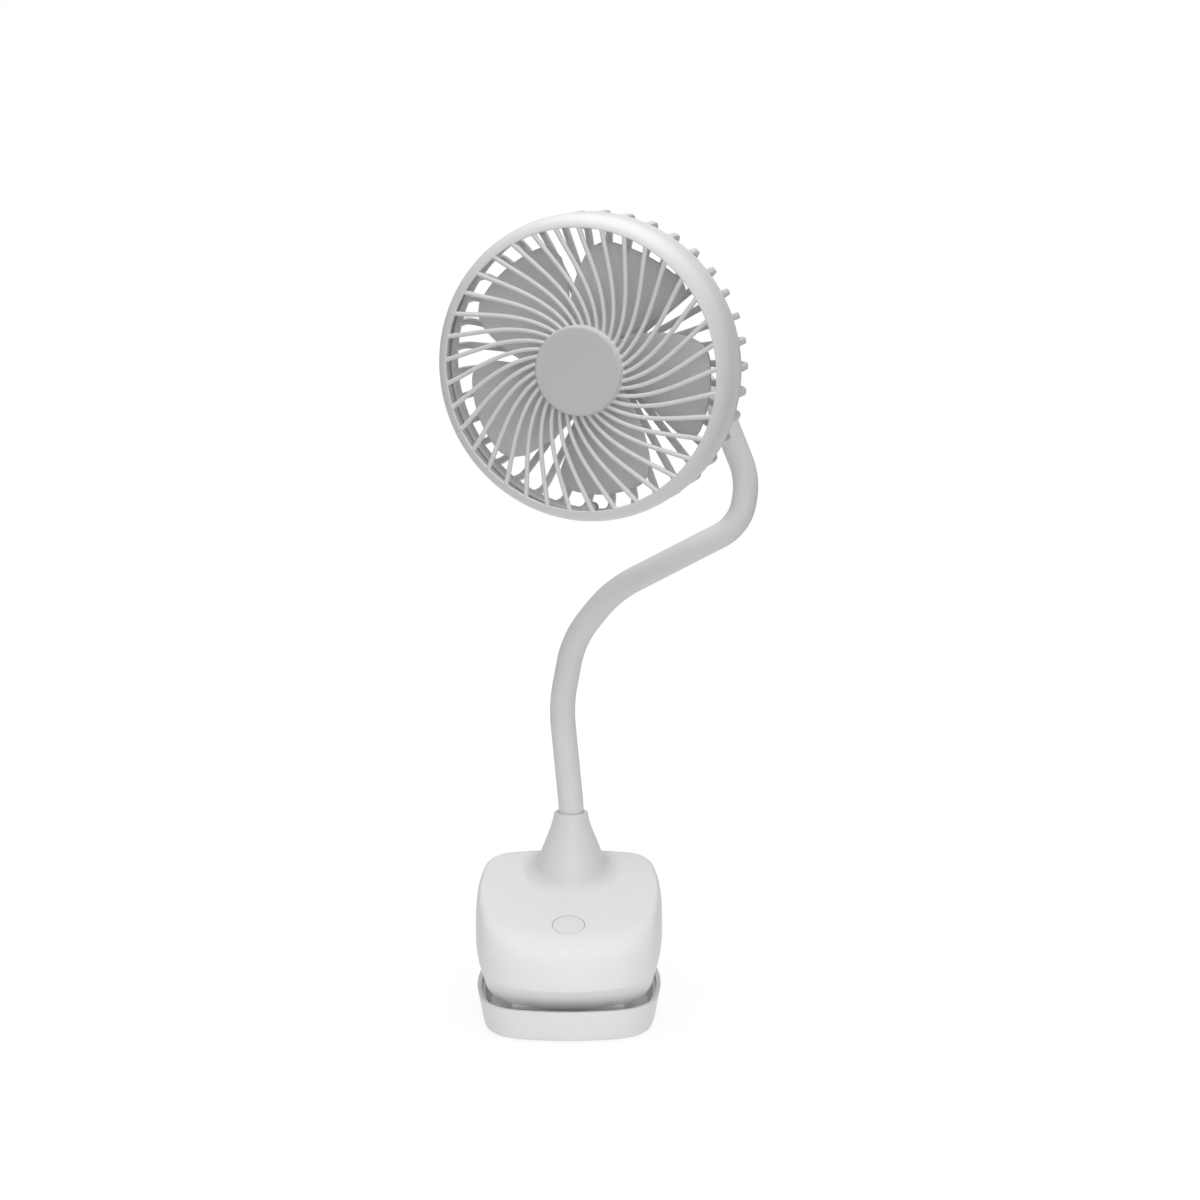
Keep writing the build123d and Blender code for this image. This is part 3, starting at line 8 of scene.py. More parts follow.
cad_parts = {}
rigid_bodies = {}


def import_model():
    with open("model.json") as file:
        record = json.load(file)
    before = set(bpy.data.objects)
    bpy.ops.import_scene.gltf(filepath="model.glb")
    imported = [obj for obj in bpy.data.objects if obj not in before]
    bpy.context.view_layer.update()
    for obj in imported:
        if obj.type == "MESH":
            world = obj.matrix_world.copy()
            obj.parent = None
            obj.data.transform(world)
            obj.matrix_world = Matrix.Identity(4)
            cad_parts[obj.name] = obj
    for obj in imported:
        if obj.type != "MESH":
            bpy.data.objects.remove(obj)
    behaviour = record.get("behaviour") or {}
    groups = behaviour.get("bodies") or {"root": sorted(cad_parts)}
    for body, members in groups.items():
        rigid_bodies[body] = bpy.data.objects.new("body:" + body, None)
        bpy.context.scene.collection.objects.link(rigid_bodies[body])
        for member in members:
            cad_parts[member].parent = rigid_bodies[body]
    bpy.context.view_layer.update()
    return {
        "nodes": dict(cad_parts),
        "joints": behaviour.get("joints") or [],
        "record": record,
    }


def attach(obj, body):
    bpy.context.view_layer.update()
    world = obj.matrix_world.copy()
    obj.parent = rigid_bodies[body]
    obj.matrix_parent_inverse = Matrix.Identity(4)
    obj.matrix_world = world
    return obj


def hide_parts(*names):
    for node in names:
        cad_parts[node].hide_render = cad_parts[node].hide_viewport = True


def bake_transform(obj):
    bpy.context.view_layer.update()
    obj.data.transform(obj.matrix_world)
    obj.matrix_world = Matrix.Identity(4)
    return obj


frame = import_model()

bl_info = {
    "name": "Clip fan",
    "version": (1, 0, 0),
    "blender": (4, 5, 0),
    "location": "3D View > Sidebar > Clip fan",
    "description": "Models and finishes a clip fan with a bendable neck",
    "category": "Object",
}

MM = 0.001                # in metres
SHARP_ANGLE = 40          # edges past this many degrees are rounded or shaded sharp
MERGE_DISTANCE = 1e-5     # in metres
NODES = frame["nodes"]
JOINTS = {joint["name"]: joint for joint in frame["joints"]}

# ---- Places given by the frame ----------------------------------------------
FAN_JOINT = JOINTS["fan_spin"]
HEAD_FRONT = Vector(FAN_JOINT["axis"]).normalized()
HEAD_RIGHT = HEAD_FRONT.cross(Vector((0, 0, -1))).normalized()
HEAD_UP = HEAD_FRONT.cross(HEAD_RIGHT)
LIP_CENTRE = Vector(FAN_JOINT["pos_m"])
# The head's own frame: x to its right, y up, z to the front from the lip's plane.
HEAD = Matrix((HEAD_RIGHT, HEAD_UP, HEAD_FRONT)).transposed().to_4x4()
HEAD.translation = LIP_CENTRE

# ---- Sizes of the base and the neck, in mm -----------------------------------
SLEEVE_RADIUS = 6.4
SLEEVE_SIDES = 40
# The neck's centre line, as (x, z) in an upright plane: where its straight runs
# meet, each rounded by an arc of the radius given with it.
NECK_PLANE_Y = 19.0
NECK_ROUTE = [
    ((1.0, 90.0), 0.0),
    ((1.0, 106.0), 55.0),
    ((-4.0, 158.0), 80.0),
    ((2.4, 192.2), 50.0),
    ((21.8, 217.0), 60.0),
    ((86.4, 250.6), 23.0),
    ((90.4, 274.2), 36.0),
    ((71.0, 323.0), 45.0),
]
NECK_LAST_RADIUS = 26.0   # of the arc that turns the neck towards the head
NECK_SEAT = 61.2          # end of the neck behind the lip's plane
NECK_STEP = 1.5           # about how far apart the points of the line are

# ---- Sizes of the head, in mm: radii from its axis, heights from the lip's plane ----
LIP_RADIUS = 67.6
RING_RADIUS = 73.9
RING_WALL = 2.0
RING_DEPTH = 20.0
RING_DRAFT = 0.3          # how much narrower the ring's rear edge is
SHOULDER_DEPTH = 9.5      # where the rolled lip meets the ring's straight side
BEND_OUT = 0.72           # the lip's bend, as a share of the way out to the side
BEND_BACK = 0.34          # and of the way back to the shoulder
BEND_INSET = 0.75         # the inner wall's bend is in by this share of the wall

RIB_STEPS = 26            # steps along a rib
RIB_SIDES = 14
RIB_OVERLAP = 0.6         # how far a rib starts inside the lip
RIB_END_RADIUS = 20.4
RIB_SWEEP = 0.293         # a rib turns back by this many degrees a mm
RIB_SWIRL = 0.00932       # and by this many more a square mm
RIB_HEIGHT = -1.2
RIB_CROWN = 0.3           # how far a rib's middle stands out
RIB_TAPER = 0.2           # share of its width that a rib loses towards the hub

HUB_PLATE_RADIUS = 21.8
HUB_PLATE_BACK = -3.0
HUB_PLATE_FRONT = 0.6
CAP_RADIUS = 21.6
CAP_FRONT = 2.6
CAP_ROUND = 1.3
CAP_CROWN = 0.02          # how far the cap's face falls towards its edge,
CAP_FLAT = 0.4            # from this share of its radius
CAP_FALL = 0.8            # to this one

BOSS_RADIUS = 2.6
BOSS_OUT = 68.8           # a screw boss's axis from the head's
GUARD_BOSS_FRONT = -9.5
CAGE_BOSS_FRONT = -16.2

CAGE_RADIUS = 73.6
RIM_INNER_RADIUS = 69.8
RIM_SPIGOT = 1.6          # wall of the rim's step that fits inside the ring
RIM_FRONT = -16.0
RIM_BACK = -23.0
FIN_DEPTH = 2.8           # how deep a fin is, measured outwards
FIN_CORNER = 8.0          # radius over which a fin's outer edge turns in
FIN_KNEE = -33.0          # where that turn starts
FIN_STARTS = (-21.5, -26.0, -30.0)
FIN_TURN_STEPS = 8
FIN_END_STEPS = 6         # on the straight run from the turn to the rear plate
FIN_SIDES = 16
FIN_END_HEIGHT = -43.6
FIN_OVERLAP = 2.0         # how far a fin runs in over the rear plate
FIN_POWER = 0.55          # 1 gives a fin a round section, less a squarer one
FIN_PHASE = 0.3           # degrees
REAR_PLATE_RADIUS = 24.0
REAR_PLATE_BORE = 3.9     # its radius
REAR_PLATE_BACK = -45.0
REAR_PLATE_FRONT = -42.5
MOTOR_COLLAR = (15.2, 16.9)  # its inner and outer radius
MOTOR_COLLAR_BACK = -43.0
MOTOR_COLLAR_FRONT = -36.5

BLADE_COUNT = 5
BLADE_ROOT_RADIUS = 17.4
BLADE_TIP_RADIUS = 61.7
BLADE_CORNER = 8.0        # how far the tip's corners are rounded
BLADE_HALF_WIDTH = 25.0   # about half its width, along the arc
# Angles of a blade's edges in degrees: the factors of 1, s and s squared, where s
# goes from 0 at the root to 1 at the tip.
BLADE_LEAD = (32.0, -38.0, 8.0)
BLADE_TRAIL = (-38.0, -26.0, 16.0)
BLADE_HEIGHT = -16.8
BLADE_ROOT_TWIST = 10.0   # degrees that the root is pitched more than the tip
BLADE_ARCH = 0.06         # height of the blade's arch as a share of its radius
WHEEL_HUB_RADIUS = 18.5
WHEEL_HUB_WALL = 1.8
WHEEL_HUB_ROUND = 2.0
WHEEL_HUB_FRONT = -8.0
WHEEL_HUB_BACK = -24.0
WHEEL_BORE = 1.6          # its radius


# ---- Materials --------------------------------------------------------------
def linear(code):
    """Linear colour of a hex sRGB code."""
    parts = [int(code[i:i + 2], 16) / 255 for i in (0, 2, 4)]
    return tuple(v / 12.92 if v <= 0.04045 else ((v + 0.055) / 1.055) ** 2.4 for v in parts)


def add_node(tree, kind, settings=None, links=None):
    """Adds a node; settings fill its sockets and attributes, links join its inputs."""
    node = tree.nodes.new(kind)
    for name, value in (settings or {}).items():
        if name in node.inputs:
            node.inputs[name].default_value = value
        else:
            setattr(node, name, value)
    for name, source in (links or {}).items():
        tree.links.new(source, node.inputs[name])
    return node


def new_material(name):
    """Empty node material with its output node."""
    material = bpy.data.materials.new(name)
    material.use_nodes = True
    tree = material.node_tree
    tree.nodes.clear()
    return material, tree, add_node(tree, "ShaderNodeOutputMaterial")


CRISP_ANGLE = 15          # edges of the base's shells past this many degrees are sharp
DRIFT_MM = 24             # length over which a moulded piece's tone drifts
MOTTLE = 0.012            # share by which it drifts each way
PLASTIC_GLOSS = 0.04      # how far a plastic's roughness varies each way
METAL_GLOSS = 0.07        # and a metal's
METAL_GRAIN_MM = 0.4


def moulded(name, colour, roughness, grain_mm, grain_depth_mm, **sockets):
    """Moulded plastic or rubber: a fine texture from the mould, and roughness
    and tone that drift a little over the surface."""
    material, tree, output = new_material(name)
    spot = add_node(tree, "ShaderNodeTexCoord").outputs["Object"]
    grain = add_node(tree, "ShaderNodeTexNoise",
                     {"Scale": 1 / (grain_mm * MM), "Detail": 2.0, "Roughness": 0.55},
                     {"Vector": spot})
    drift = add_node(tree, "ShaderNodeTexNoise",
                     {"Scale": 1 / (DRIFT_MM * MM), "Detail": 1.0}, {"Vector": spot})
    dark = tuple(v * (1 - MOTTLE) for v in colour) + (1.0,)
    light = tuple(min(1.0, v * (1 + MOTTLE)) for v in colour) + (1.0,)
    # A Mix node's inputs 6 and 7 and output 2 are its colours.
    tone = add_node(tree, "ShaderNodeMix", {"data_type": "RGBA"})
    tone.inputs[6].default_value = dark
    tone.inputs[7].default_value = light
    tree.links.new(drift.outputs["Fac"], tone.inputs[0])
    gloss = add_node(tree, "ShaderNodeMapRange",
                     {"To Min": roughness - PLASTIC_GLOSS, "To Max": roughness + PLASTIC_GLOSS},
                     {"Value": grain.outputs["Fac"]})
    bump = add_node(tree, "ShaderNodeBump",
                    {"Strength": 0.5, "Distance": grain_depth_mm * MM},
                    {"Height": grain.outputs["Fac"]})
    shader = add_node(tree, "ShaderNodeBsdfPrincipled", sockets,
                      {"Base Color": tone.outputs[2], "Roughness": gloss.outputs[0],
                       "Normal": bump.outputs["Normal"]})
    tree.links.new(shader.outputs["BSDF"], output.inputs["Surface"])
    return material


def metal(name, colour, roughness, grain_mm=METAL_GRAIN_MM):
    """Bare or plated metal with a faint grain in its gloss."""
    material, tree, output = new_material(name)
    spot = add_node(tree, "ShaderNodeTexCoord").outputs["Object"]
    grain = add_node(tree, "ShaderNodeTexNoise", {"Scale": 1 / (grain_mm * MM), "Detail": 3.0},
                     {"Vector": spot})
    gloss = add_node(tree, "ShaderNodeMapRange",
                     {"To Min": roughness - METAL_GLOSS, "To Max": roughness + METAL_GLOSS},
                     {"Value": grain.outputs["Fac"]})
    shader = add_node(tree, "ShaderNodeBsdfPrincipled",
                      {"Base Color": colour + (1.0,), "Metallic": 1.0},
                      {"Roughness": gloss.outputs[0]})
    tree.links.new(shader.outputs["BSDF"], output.inputs["Surface"])
    return material


FINISHES = {}             # the materials made so far, by their short names
KEPT = set()              # the CAD nodes that are finished so far


def finish_named(name):
    """The fan's finishes, each made once from the colours in the panel."""
    if FINISHES:
        return FINISHES[name]
    look = bpy.context.scene.clip_fan_look
    # ABS, injection moulded in a spark-eroded mould: satin white, soft broad highlights.
    FINISHES["shell"] = moulded("abs_satin_white", tuple(look.shell), 0.42, 0.5, 0.02, IOR=1.54)
    # The same ABS as the shell, with painted shade: a shade greyer, for where it is seen through the
    # guard.
    FINISHES["cage"] = moulded("abs_satin_white_cage", tuple(look.cage), 0.45, 0.5, 0.02, IOR=1.54)
    # ABS button, a little smoother than the shell round it.
    FINISHES["button"] = moulded("abs_button_grey_white", tuple(look.button), 0.36, 0.5, 0.01, IOR=1.54)
    # Thin polypropylene blades: matte and pale grey.
    FINISHES["blade"] = moulded("polypropylene_blade_grey", tuple(look.blade), 0.5, 0.6, 0.02, IOR=1.49)
    # ABS cap with a fine matte mould texture, greyer than the guard.
    FINISHES["cap"] = moulded("abs_matte_cap_grey", tuple(look.cap), 0.55, 0.6, 0.03, IOR=1.54)
    # Silicone rubber tube: matte, soft to the eye, slightly uneven.
    FINISHES["sleeve"] = moulded("silicone_sleeve_white", tuple(look.sleeve), 0.55, 0.8, 0.03, IOR=1.41)
    # Softer silicone, moulded: matte, a shade greyer than the sleeve.
    FINISHES["pad"] = moulded("silicone_pad_white", tuple(look.pad), 0.6, 0.6, 0.04, IOR=1.41)
    # The rest are inner pieces, seen through gaps or when the fan is taken apart.
    # Nylon, moulded: black with a satin face.
    FINISHES["switch"] = moulded("nylon_black", linear("1C1C1D"), 0.5, 0.5, 0.02, IOR=1.53)
    # Ferrite, pressed and sintered: dull, nearly black.
    FINISHES["ferrite"] = moulded("ferrite_black", linear("2E2E31"), 0.7, 0.3, 0.03)
    # PVC, extruded over the wires: black, a little glossy.
    FINISHES["lead"] = moulded("pvc_cable_black", linear("1A1A1A"), 0.45, 0.6, 0.02)
    # Glass-fibre board under its green lacquer: smooth, with the weave just felt.
    FINISHES["board"] = moulded("circuit_board_green", linear("1E5B38"), 0.35, 0.8, 0.01)
    # Acrylic, moulded and polished: glossy and milky.
    FINISHES["lamp"] = moulded("acrylic_lamp_clear", linear("E4E4E0"), 0.15, 1.0, 0.005, IOR=1.49)
    # PVC film, shrunk on the cell: glossy, with faint waves.
    FINISHES["cell"] = moulded("shrink_wrap_blue", linear("2F5F8C"), 0.3, 1.5, 0.01)
    # Zinc-plated steel: a bluish grey, soft gloss.
    FINISHES["zinc"] = metal("zinc_plated_steel", linear("B4B6BA"), 0.32)
    # Nickel-plated steel: a warm grey, clear gloss.
    FINISHES["nickel"] = metal("nickel_plated_steel", linear("C8C6C0"), 0.2)
    # Steel wire, drawn: plain grey with drawn-out gloss.
    FINISHES["coil"] = metal("drawn_steel_wire", linear("9C9EA1"), 0.35)
    # Brass, turned: yellow, clear gloss.
    FINISHES["brass"] = metal("turned_brass", linear("C6A15A"), 0.28)
    # Bronze, sintered and oiled: brown and dull.
    FINISHES["bronze"] = metal("sintered_bronze", linear("8F6F43"), 0.5, 0.2)
    # Stamped sheets, stacked: dull grey steel.
    FINISHES["laminate"] = metal("stacked_steel_sheet", linear("77777A"), 0.5, 0.5)
    return FINISHES[name]


# ---- Shaping helpers --------------------------------------------------------
def settle():
    """Object mode, with nothing selected."""
    if bpy.context.object and bpy.context.object.mode != "OBJECT":
        bpy.ops.object.mode_set(mode="OBJECT")
    bpy.ops.object.select_all(action="DESELECT")


def take(obj):
    """Makes obj the only selected and the active object."""
    settle()
    obj.select_set(True)
    bpy.context.view_layer.objects.active = obj


def place(obj, matrix):
    """Moves a piece drawn in its own frame, in mm, to its place, into its mesh."""
    take(obj)
    obj.matrix_world = matrix @ Matrix.Scale(MM, 4)
    bpy.ops.object.transform_apply(location=True, rotation=True, scale=True)
    return obj


def smooth(obj, angle=SHARP_ANGLE):
    """Smooth faces, sharp past the angle."""
    take(obj)
    bpy.ops.object.shade_smooth_by_angle(angle=radians(angle))


def coat(obj, finish):
    """Gives a piece its material alone."""
    obj.data.materials.clear()
    obj.data.materials.append(finish_named(finish))
    return obj


def dress(obj, finish, body, replaces):
    """Gives a piece its material, hides the nodes that it stands for and attaches it to its body; a
    piece whose body is None stays unattached."""
    coat(obj, finish)
    if body:
        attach(obj, body)
    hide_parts(*replaces)


def crisp_edges(angle):
    """Geometry nodes that shade a mesh smooth up to the angle and sharp past it."""
    tree = bpy.data.node_groups.new("crisp_edges", "GeometryNodeTree")
    for way in ("INPUT", "OUTPUT"):
        tree.interface.new_socket("Geometry", in_out=way, socket_type="NodeSocketGeometry")
    mesh = add_node(tree, "NodeGroupInput").outputs[0]
    mesh = add_node(tree, "GeometryNodeMergeByDistance", {"Distance": MERGE_DISTANCE},
                    {"Geometry": mesh}).outputs[0]
    mesh = add_node(tree, "GeometryNodeRemoveAttribute", {"Name": "custom_normal"},
                    {"Geometry": mesh}).outputs[0]
    mesh = add_node(tree, "GeometryNodeSetShadeSmooth", {"domain": "FACE", "Shade Smooth": True},
                    {"Geometry": mesh}).outputs[0]
    bend = add_node(tree, "GeometryNodeInputMeshEdgeAngle").outputs["Unsigned Angle"]
    gentle = add_node(tree, "FunctionNodeCompare", {"operation": "LESS_THAN", "B": radians(angle)},
                      {"A": bend})
    mesh = add_node(tree, "GeometryNodeSetShadeSmooth", {"domain": "EDGE"},
                    {"Geometry": mesh, "Shade Smooth": gentle.outputs[0]}).outputs[0]
    add_node(tree, "NodeGroupOutput", links={"Geometry": mesh})
    return tree


def keep(node, finish, edges=None):
    """Finishes a CAD node that stays as it is, some with geometry nodes for their edges."""
    obj = coat(NODES[node], finish)
    if edges:
        obj.modifiers.new("edges", "NODES").node_group = edges
    KEPT.add(node)


def neck_line():
    """The neck's centre line as points about NECK_STEP apart, in mm."""
    corners = [(Vector((x, NECK_PLANE_Y, z)), radius) for (x, z), radius in NECK_ROUTE]
    lip = LIP_CENTRE / MM
    reach = (NECK_PLANE_Y - lip.y) / -HEAD_FRONT.y
    corners.append((lip - HEAD_FRONT * reach, NECK_LAST_RADIUS))
    corners.append((lip - HEAD_FRONT * NECK_SEAT, 0.0))
    line = [corners[0][0]]
    for i in range(1, len(corners) - 1):
        (before, _), (corner, radius), (after, _) = corners[i - 1:i + 2]
        back, on = (before - corner).normalized(), (after - corner).normalized()
        half = acos(max(-1.0, min(1.0, back.dot(on)))) / 2
        reach = radius / tan(half)
        centre = corner + (back + on).normalized() * (radius / sin(half))
        first = corner + back * reach - centre
        last = corner + on * reach - centre
        turn = first.angle(last)
        axis = first.cross(last).normalized()
        steps = max(2, int(turn * radius / NECK_STEP))
        for k in range(steps + 1):
            line.append(centre + Matrix.Rotation(turn * k / steps, 3, axis) @ first)
    line.append(corners[-1][0])
    # Straight runs get points too, so that the sleeve bends evenly.
    fine = [line[0]]
    for point in line[1:]:
        start = fine[-1]
        steps = max(1, round((point - start).length / NECK_STEP))
        fine += [start.lerp(point, k / steps) for k in range(1, steps + 1)]
    return fine


def edit(obj):
    """Edit mode on obj with everything selected."""
    take(obj)
    bpy.ops.object.mode_set(mode="EDIT")
    bpy.ops.mesh.select_all(action="SELECT")


def stations_along(points, side=None, scales=None):
    """A matrix at each point of a path: z along the path and x as near to side as
    it can be, or without a twist where no side is given."""
    found = []
    for i, point in enumerate(points):
        along = points[min(i + 1, len(points) - 1)] - points[max(i - 1, 0)]
        along.normalize()
        if side is None:
            side = along.orthogonal()
        across = (side - along * side.dot(along)).normalized()
        turn = Matrix((across, along.cross(across), along)).transposed().to_4x4()
        size = scales[i] if scales else 1.0
        found.append(Matrix.Translation(point) @ turn @ Matrix.Scale(size, 4))
        side = across
    return found


def round_section(radius, sides):
    """The corners of a round bar's section."""
    angles = [2 * pi * i / sides for i in range(sides)]
    return [(radius * cos(angle), radius * sin(angle)) for angle in angles]


def swept(name, stations, section):
    """A closed bar: the section's face, extruded from each station to the next."""
    settle()
    bpy.ops.mesh.primitive_circle_add(vertices=len(section), radius=1.0, fill_type="NGON")
    obj = bpy.context.object
    obj.name = name
    turn = obj.data.attributes.new("turn", "INT", "POINT")
    for i, vertex in enumerate(obj.data.vertices):
        turn.data[i].value = i
        vertex.co = stations[0] @ Vector((*section[i], 0.0))
    edit(obj)
    bpy.ops.mesh.select_mode(type="FACE")
    for station in stations[1:]:
        bpy.ops.mesh.extrude_region_move()
        mesh = bmesh.from_edit_mesh(obj.data)
        order = mesh.verts.layers.int["turn"]
        for vertex in mesh.verts:
            if vertex.select:
                vertex.co = station @ Vector((*section[vertex[order]], 0.0))
        bmesh.update_edit_mesh(obj.data)
    bpy.ops.mesh.select_all(action="SELECT")
    bpy.ops.mesh.normals_make_consistent(inside=False)
    bpy.ops.object.mode_set(mode="OBJECT")
    obj.data.attributes.remove(obj.data.attributes["turn"])
    return obj


def turned(name, outline, steps):
    """Spins a closed outline of (radius, height) points about Z."""
    settle()
    bpy.ops.mesh.primitive_circle_add(vertices=len(outline), radius=1.0, fill_type="NOTHING")
    obj = bpy.context.object
    obj.name = name
    for vertex, (radius, height) in zip(obj.data.vertices, outline):
        vertex.co = (radius, 0.0, height)
    edit(obj)
    bpy.ops.mesh.spin(steps=steps, angle=2 * pi, center=(0, 0, 0), axis=(0, 0, 1))
    bpy.ops.mesh.select_all(action="SELECT")
    bpy.ops.mesh.remove_doubles(threshold=0.002)
    bpy.ops.mesh.normals_make_consistent(inside=False)
    bpy.ops.object.mode_set(mode="OBJECT")
    return obj


def flat_ring(name, inner, outer, back, front, steps):
    """A flat ring, or a disc where the inner radius is 0, between two heights."""
    return turned(name, [(inner, front), (outer, front), (outer, back), (inner, back)], steps)


def quarter_round(radius, front, soft, steps):
    """The soft edge of a round face, from the face out to its side."""
    angles = [pi / 2 * k / steps for k in range(steps + 1)]
    return [(radius - soft + soft * sin(a), front - soft + soft * cos(a)) for a in angles]


def arc_points(start, middle, end, steps):
    """Points from start to end on a smooth curve through middle."""
    points = []
    for k in range(steps + 1):
        t = k / steps
        a, b, c = (1 - t) * (1 - 2 * t), 4 * t * (1 - t), t * (2 * t - 1)
        points.append(tuple(a * p + b * q + c * r for p, q, r in zip(start, middle, end)))
    return points


def join(first, *others):
    """Joins the other pieces to the first."""
    take(first)
    for other in others:
        other.select_set(True)
    bpy.ops.object.join()
    return first


def around(obj, count, phase=0.0):
    """Copies a piece, each with its own mesh, evenly round Z and joins them to it."""
    copies = []
    for i in range(count):
        take(obj)
        bpy.ops.object.duplicate()
        copy = bpy.context.object
        copy.rotation_euler = (0, 0, radians(phase) + 2 * pi * i / count)
        bpy.ops.object.transform_apply(location=False, rotation=True, scale=False)
        copies.append(copy)
    bpy.data.objects.remove(obj)
    return join(copies[0], *copies[1:])


def modify(obj, kind, **settings):
    """Adds a modifier and applies it."""
    take(obj)
    modifier = obj.modifiers.new(kind.lower(), kind)
    for name, value in settings.items():
        setattr(modifier, name, value)
    bpy.ops.object.modifier_apply(modifier=modifier.name)
    return obj


def round_edges(obj, width, segments=2, angle=SHARP_ANGLE):
    """Rounds the edges that are sharper than the angle."""
    return modify(obj, "BEVEL", width=width, segments=segments, limit_method="ANGLE",
                  angle_limit=radians(angle), use_clamp_overlap=True)


# ---- Settings ---------------------------------------------------------------
def colour_setting(name, description, code):
    """A colour in the panel, given as a hex sRGB code."""
    return bpy.props.FloatVectorProperty(name=name, description=description, subtype="COLOR",
                                         size=3, min=0.0, max=1.0, default=linear(code))


def number_setting(name, description, default, **limits):
    """A length, an angle or a share in the panel."""
    return bpy.props.FloatProperty(name=name, description=description, default=default, **limits)


def count_setting(name, description, default):
    """A number of ribs or fins in the panel."""
    return bpy.props.IntProperty(name=name, description=description, default=default,
                                 min=12, max=60)


def power_setting(name, description, default):
    """A light's power in the panel."""
    return bpy.props.FloatProperty(name=name, description=description, default=default,
                                   min=0.0, unit="POWER")


class ClipFanLook(bpy.types.PropertyGroup):
    """Colours of the fan's outer pieces."""
    shell: colour_setting("Shell", "Base, ring and guard", "E5E5E7")
    # The cage's colour is the shell's colour darkened by painted shade.
    cage: colour_setting("Cage", "Rear cage", "DCDCDE")
    button: colour_setting("Button", "Power button", "E2E2E4")
    blade: colour_setting("Blades", "Impeller", "DADADC")
    cap: colour_setting("Hub cap", "Round cap on the guard's hub", "D0D0D2")
    sleeve: colour_setting("Neck", "Silicone sleeve of the neck", "E6E6E8")
    pad: colour_setting("Pads", "Grip pads and the strips under the base", "DEDEDF")


class ClipFanSize(bpy.types.PropertyGroup):
    """Sizes, in mm and degrees, of the head's details."""
    rib_width: number_setting("Rib width", "Width of a front rib at the lip, in mm", 2.4,
                              min=1.0, max=4.0)
    rib_count: count_setting("Ribs", "Number of front ribs", 37)
    rib_phase: number_setting("Rib phase", "Angle of the first rib at the lip, in degrees", 2.4)
    fin_width: number_setting("Fin width", "Width of a rear fin, in mm", 3.4, min=1.0, max=5.0)
    fin_count: count_setting("Fins", "Number of rear fins", 37)
    blade_pitch: number_setting("Blade pitch", "Pitch of a blade at its tip, in degrees", 11.0,
                                min=0.0, max=25.0)
    blade_thickness: number_setting("Blade thickness", "Thickness of a blade, in mm", 1.6,
                                    min=0.8, max=3.0)
    blade_phase: number_setting("Blade phase", "Angle of the first blade, in degrees", 12.0)


class ClipFanStudio(bpy.types.PropertyGroup):
    """Light and floor."""
    key: power_setting("Key light", "Power of the large light above the front", 10.5)
    fill: power_setting("Fill light", "Power of the light from the front", 8.5)
    back: power_setting("Back light", "Power of the light above the back", 0.5)
    top: power_setting("Top light", "Power of the wide light overhead", 27.5)
    card: power_setting("Card", "Power of the low light in front of the base", 0.1)
    world: number_setting("Room light", "Strength of the even light all round", 0.3,
                          min=0.0, max=2.0)
    bounce: number_setting("Bounce", "Share of even white light that the floor gives back", 0.2,
                           min=0.0, max=1.0)


# ---- Base -------------------------------------------------------------------
class FAN_OT_base_shells(bpy.types.Operator):
    """Finishes the tray, the domed housing and its cover"""
    bl_idname = "clip_fan.base_shells"
    bl_label = "Base shells"

    def execute(self, context):
        edges = crisp_edges(CRISP_ANGLE)
        for node in ("lower_tray", "upper_housing", "bottom_cover"):
            keep(node, "shell", edges)
        return {"FINISHED"}


class FAN_OT_pads(bpy.types.Operator):
    """Finishes the grip pads and the strips under the base"""
    bl_idname = "clip_fan.pads"
    bl_label = "Pads"

    def execute(self, context):
        for node in ("lower_pad", "upper_pad", "base_strips"):
            keep(node, "pad")
        return {"FINISHED"}


class FAN_OT_button(bpy.types.Operator):
    """Finishes the power button"""
    bl_idname = "clip_fan.button"
    bl_label = "Power button"

    def execute(self, context):
        keep("power_button", "button")
        return {"FINISHED"}


class FAN_OT_clip_spring(bpy.types.Operator):
    """Models the clip's spring as a merged, smooth copy of the CAD spring"""
    bl_idname = "clip_fan.clip_spring"
    bl_label = "Clip spring"

    def execute(self, context):
        take(NODES["torsion_spring"])
        bpy.ops.object.duplicate()
        spring = context.object
        spring.name = "wound_spring"
        bpy.ops.object.parent_clear(type="CLEAR_KEEP_TRANSFORM")
        bpy.ops.object.transform_apply(location=True, rotation=True, scale=True)
        edit(spring)
        bpy.ops.mesh.remove_doubles(threshold=MERGE_DISTANCE)
        bpy.ops.object.mode_set(mode="OBJECT")
        smooth(spring)
        dress(spring, "coil", None, ["torsion_spring"])
        # The lower leg is at the coil's left end and the upper leg at its right end.
        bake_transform(spring)
        return {"FINISHED"}


# ---- Neck -------------------------------------------------------------------
class FAN_OT_neck(bpy.types.Operator):
    """Models the silicone sleeve as six tubes, each around one joint of the neck"""
    bl_idname = "clip_fan.neck"
    bl_label = "Neck sleeve"

    def execute(self, context):
        line = neck_line()
        section = round_section(SLEEVE_RADIUS, SLEEVE_SIDES)
        joints = [Vector(JOINTS[f"neck_joint_{i}"]["pos_m"]) / MM for i in range(1, 7)]
        at = [min(range(len(line)), key=lambda i: (line[i] - joint).length) for joint in joints]
        cuts = [0] + [(a + b) // 2 for a, b in zip(at, at[1:])] + [len(line) - 1]
        for i in range(6):
            points = line[cuts[i]:cuts[i + 1] + 1]
            tube = swept(f"neck_sleeve_tube_{i + 1}", stations_along(points), section)
            smooth(place(tube, Matrix.Identity(4)))
            # The last tube also stands for the sleeve's last length.
            nodes = [f"neck_sleeve_{i + 1}"] + (["neck_sleeve_7"] if i == 5 else [])
            dress(tube, "sleeve", None, nodes)
            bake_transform(tube)
        return {"FINISHED"}


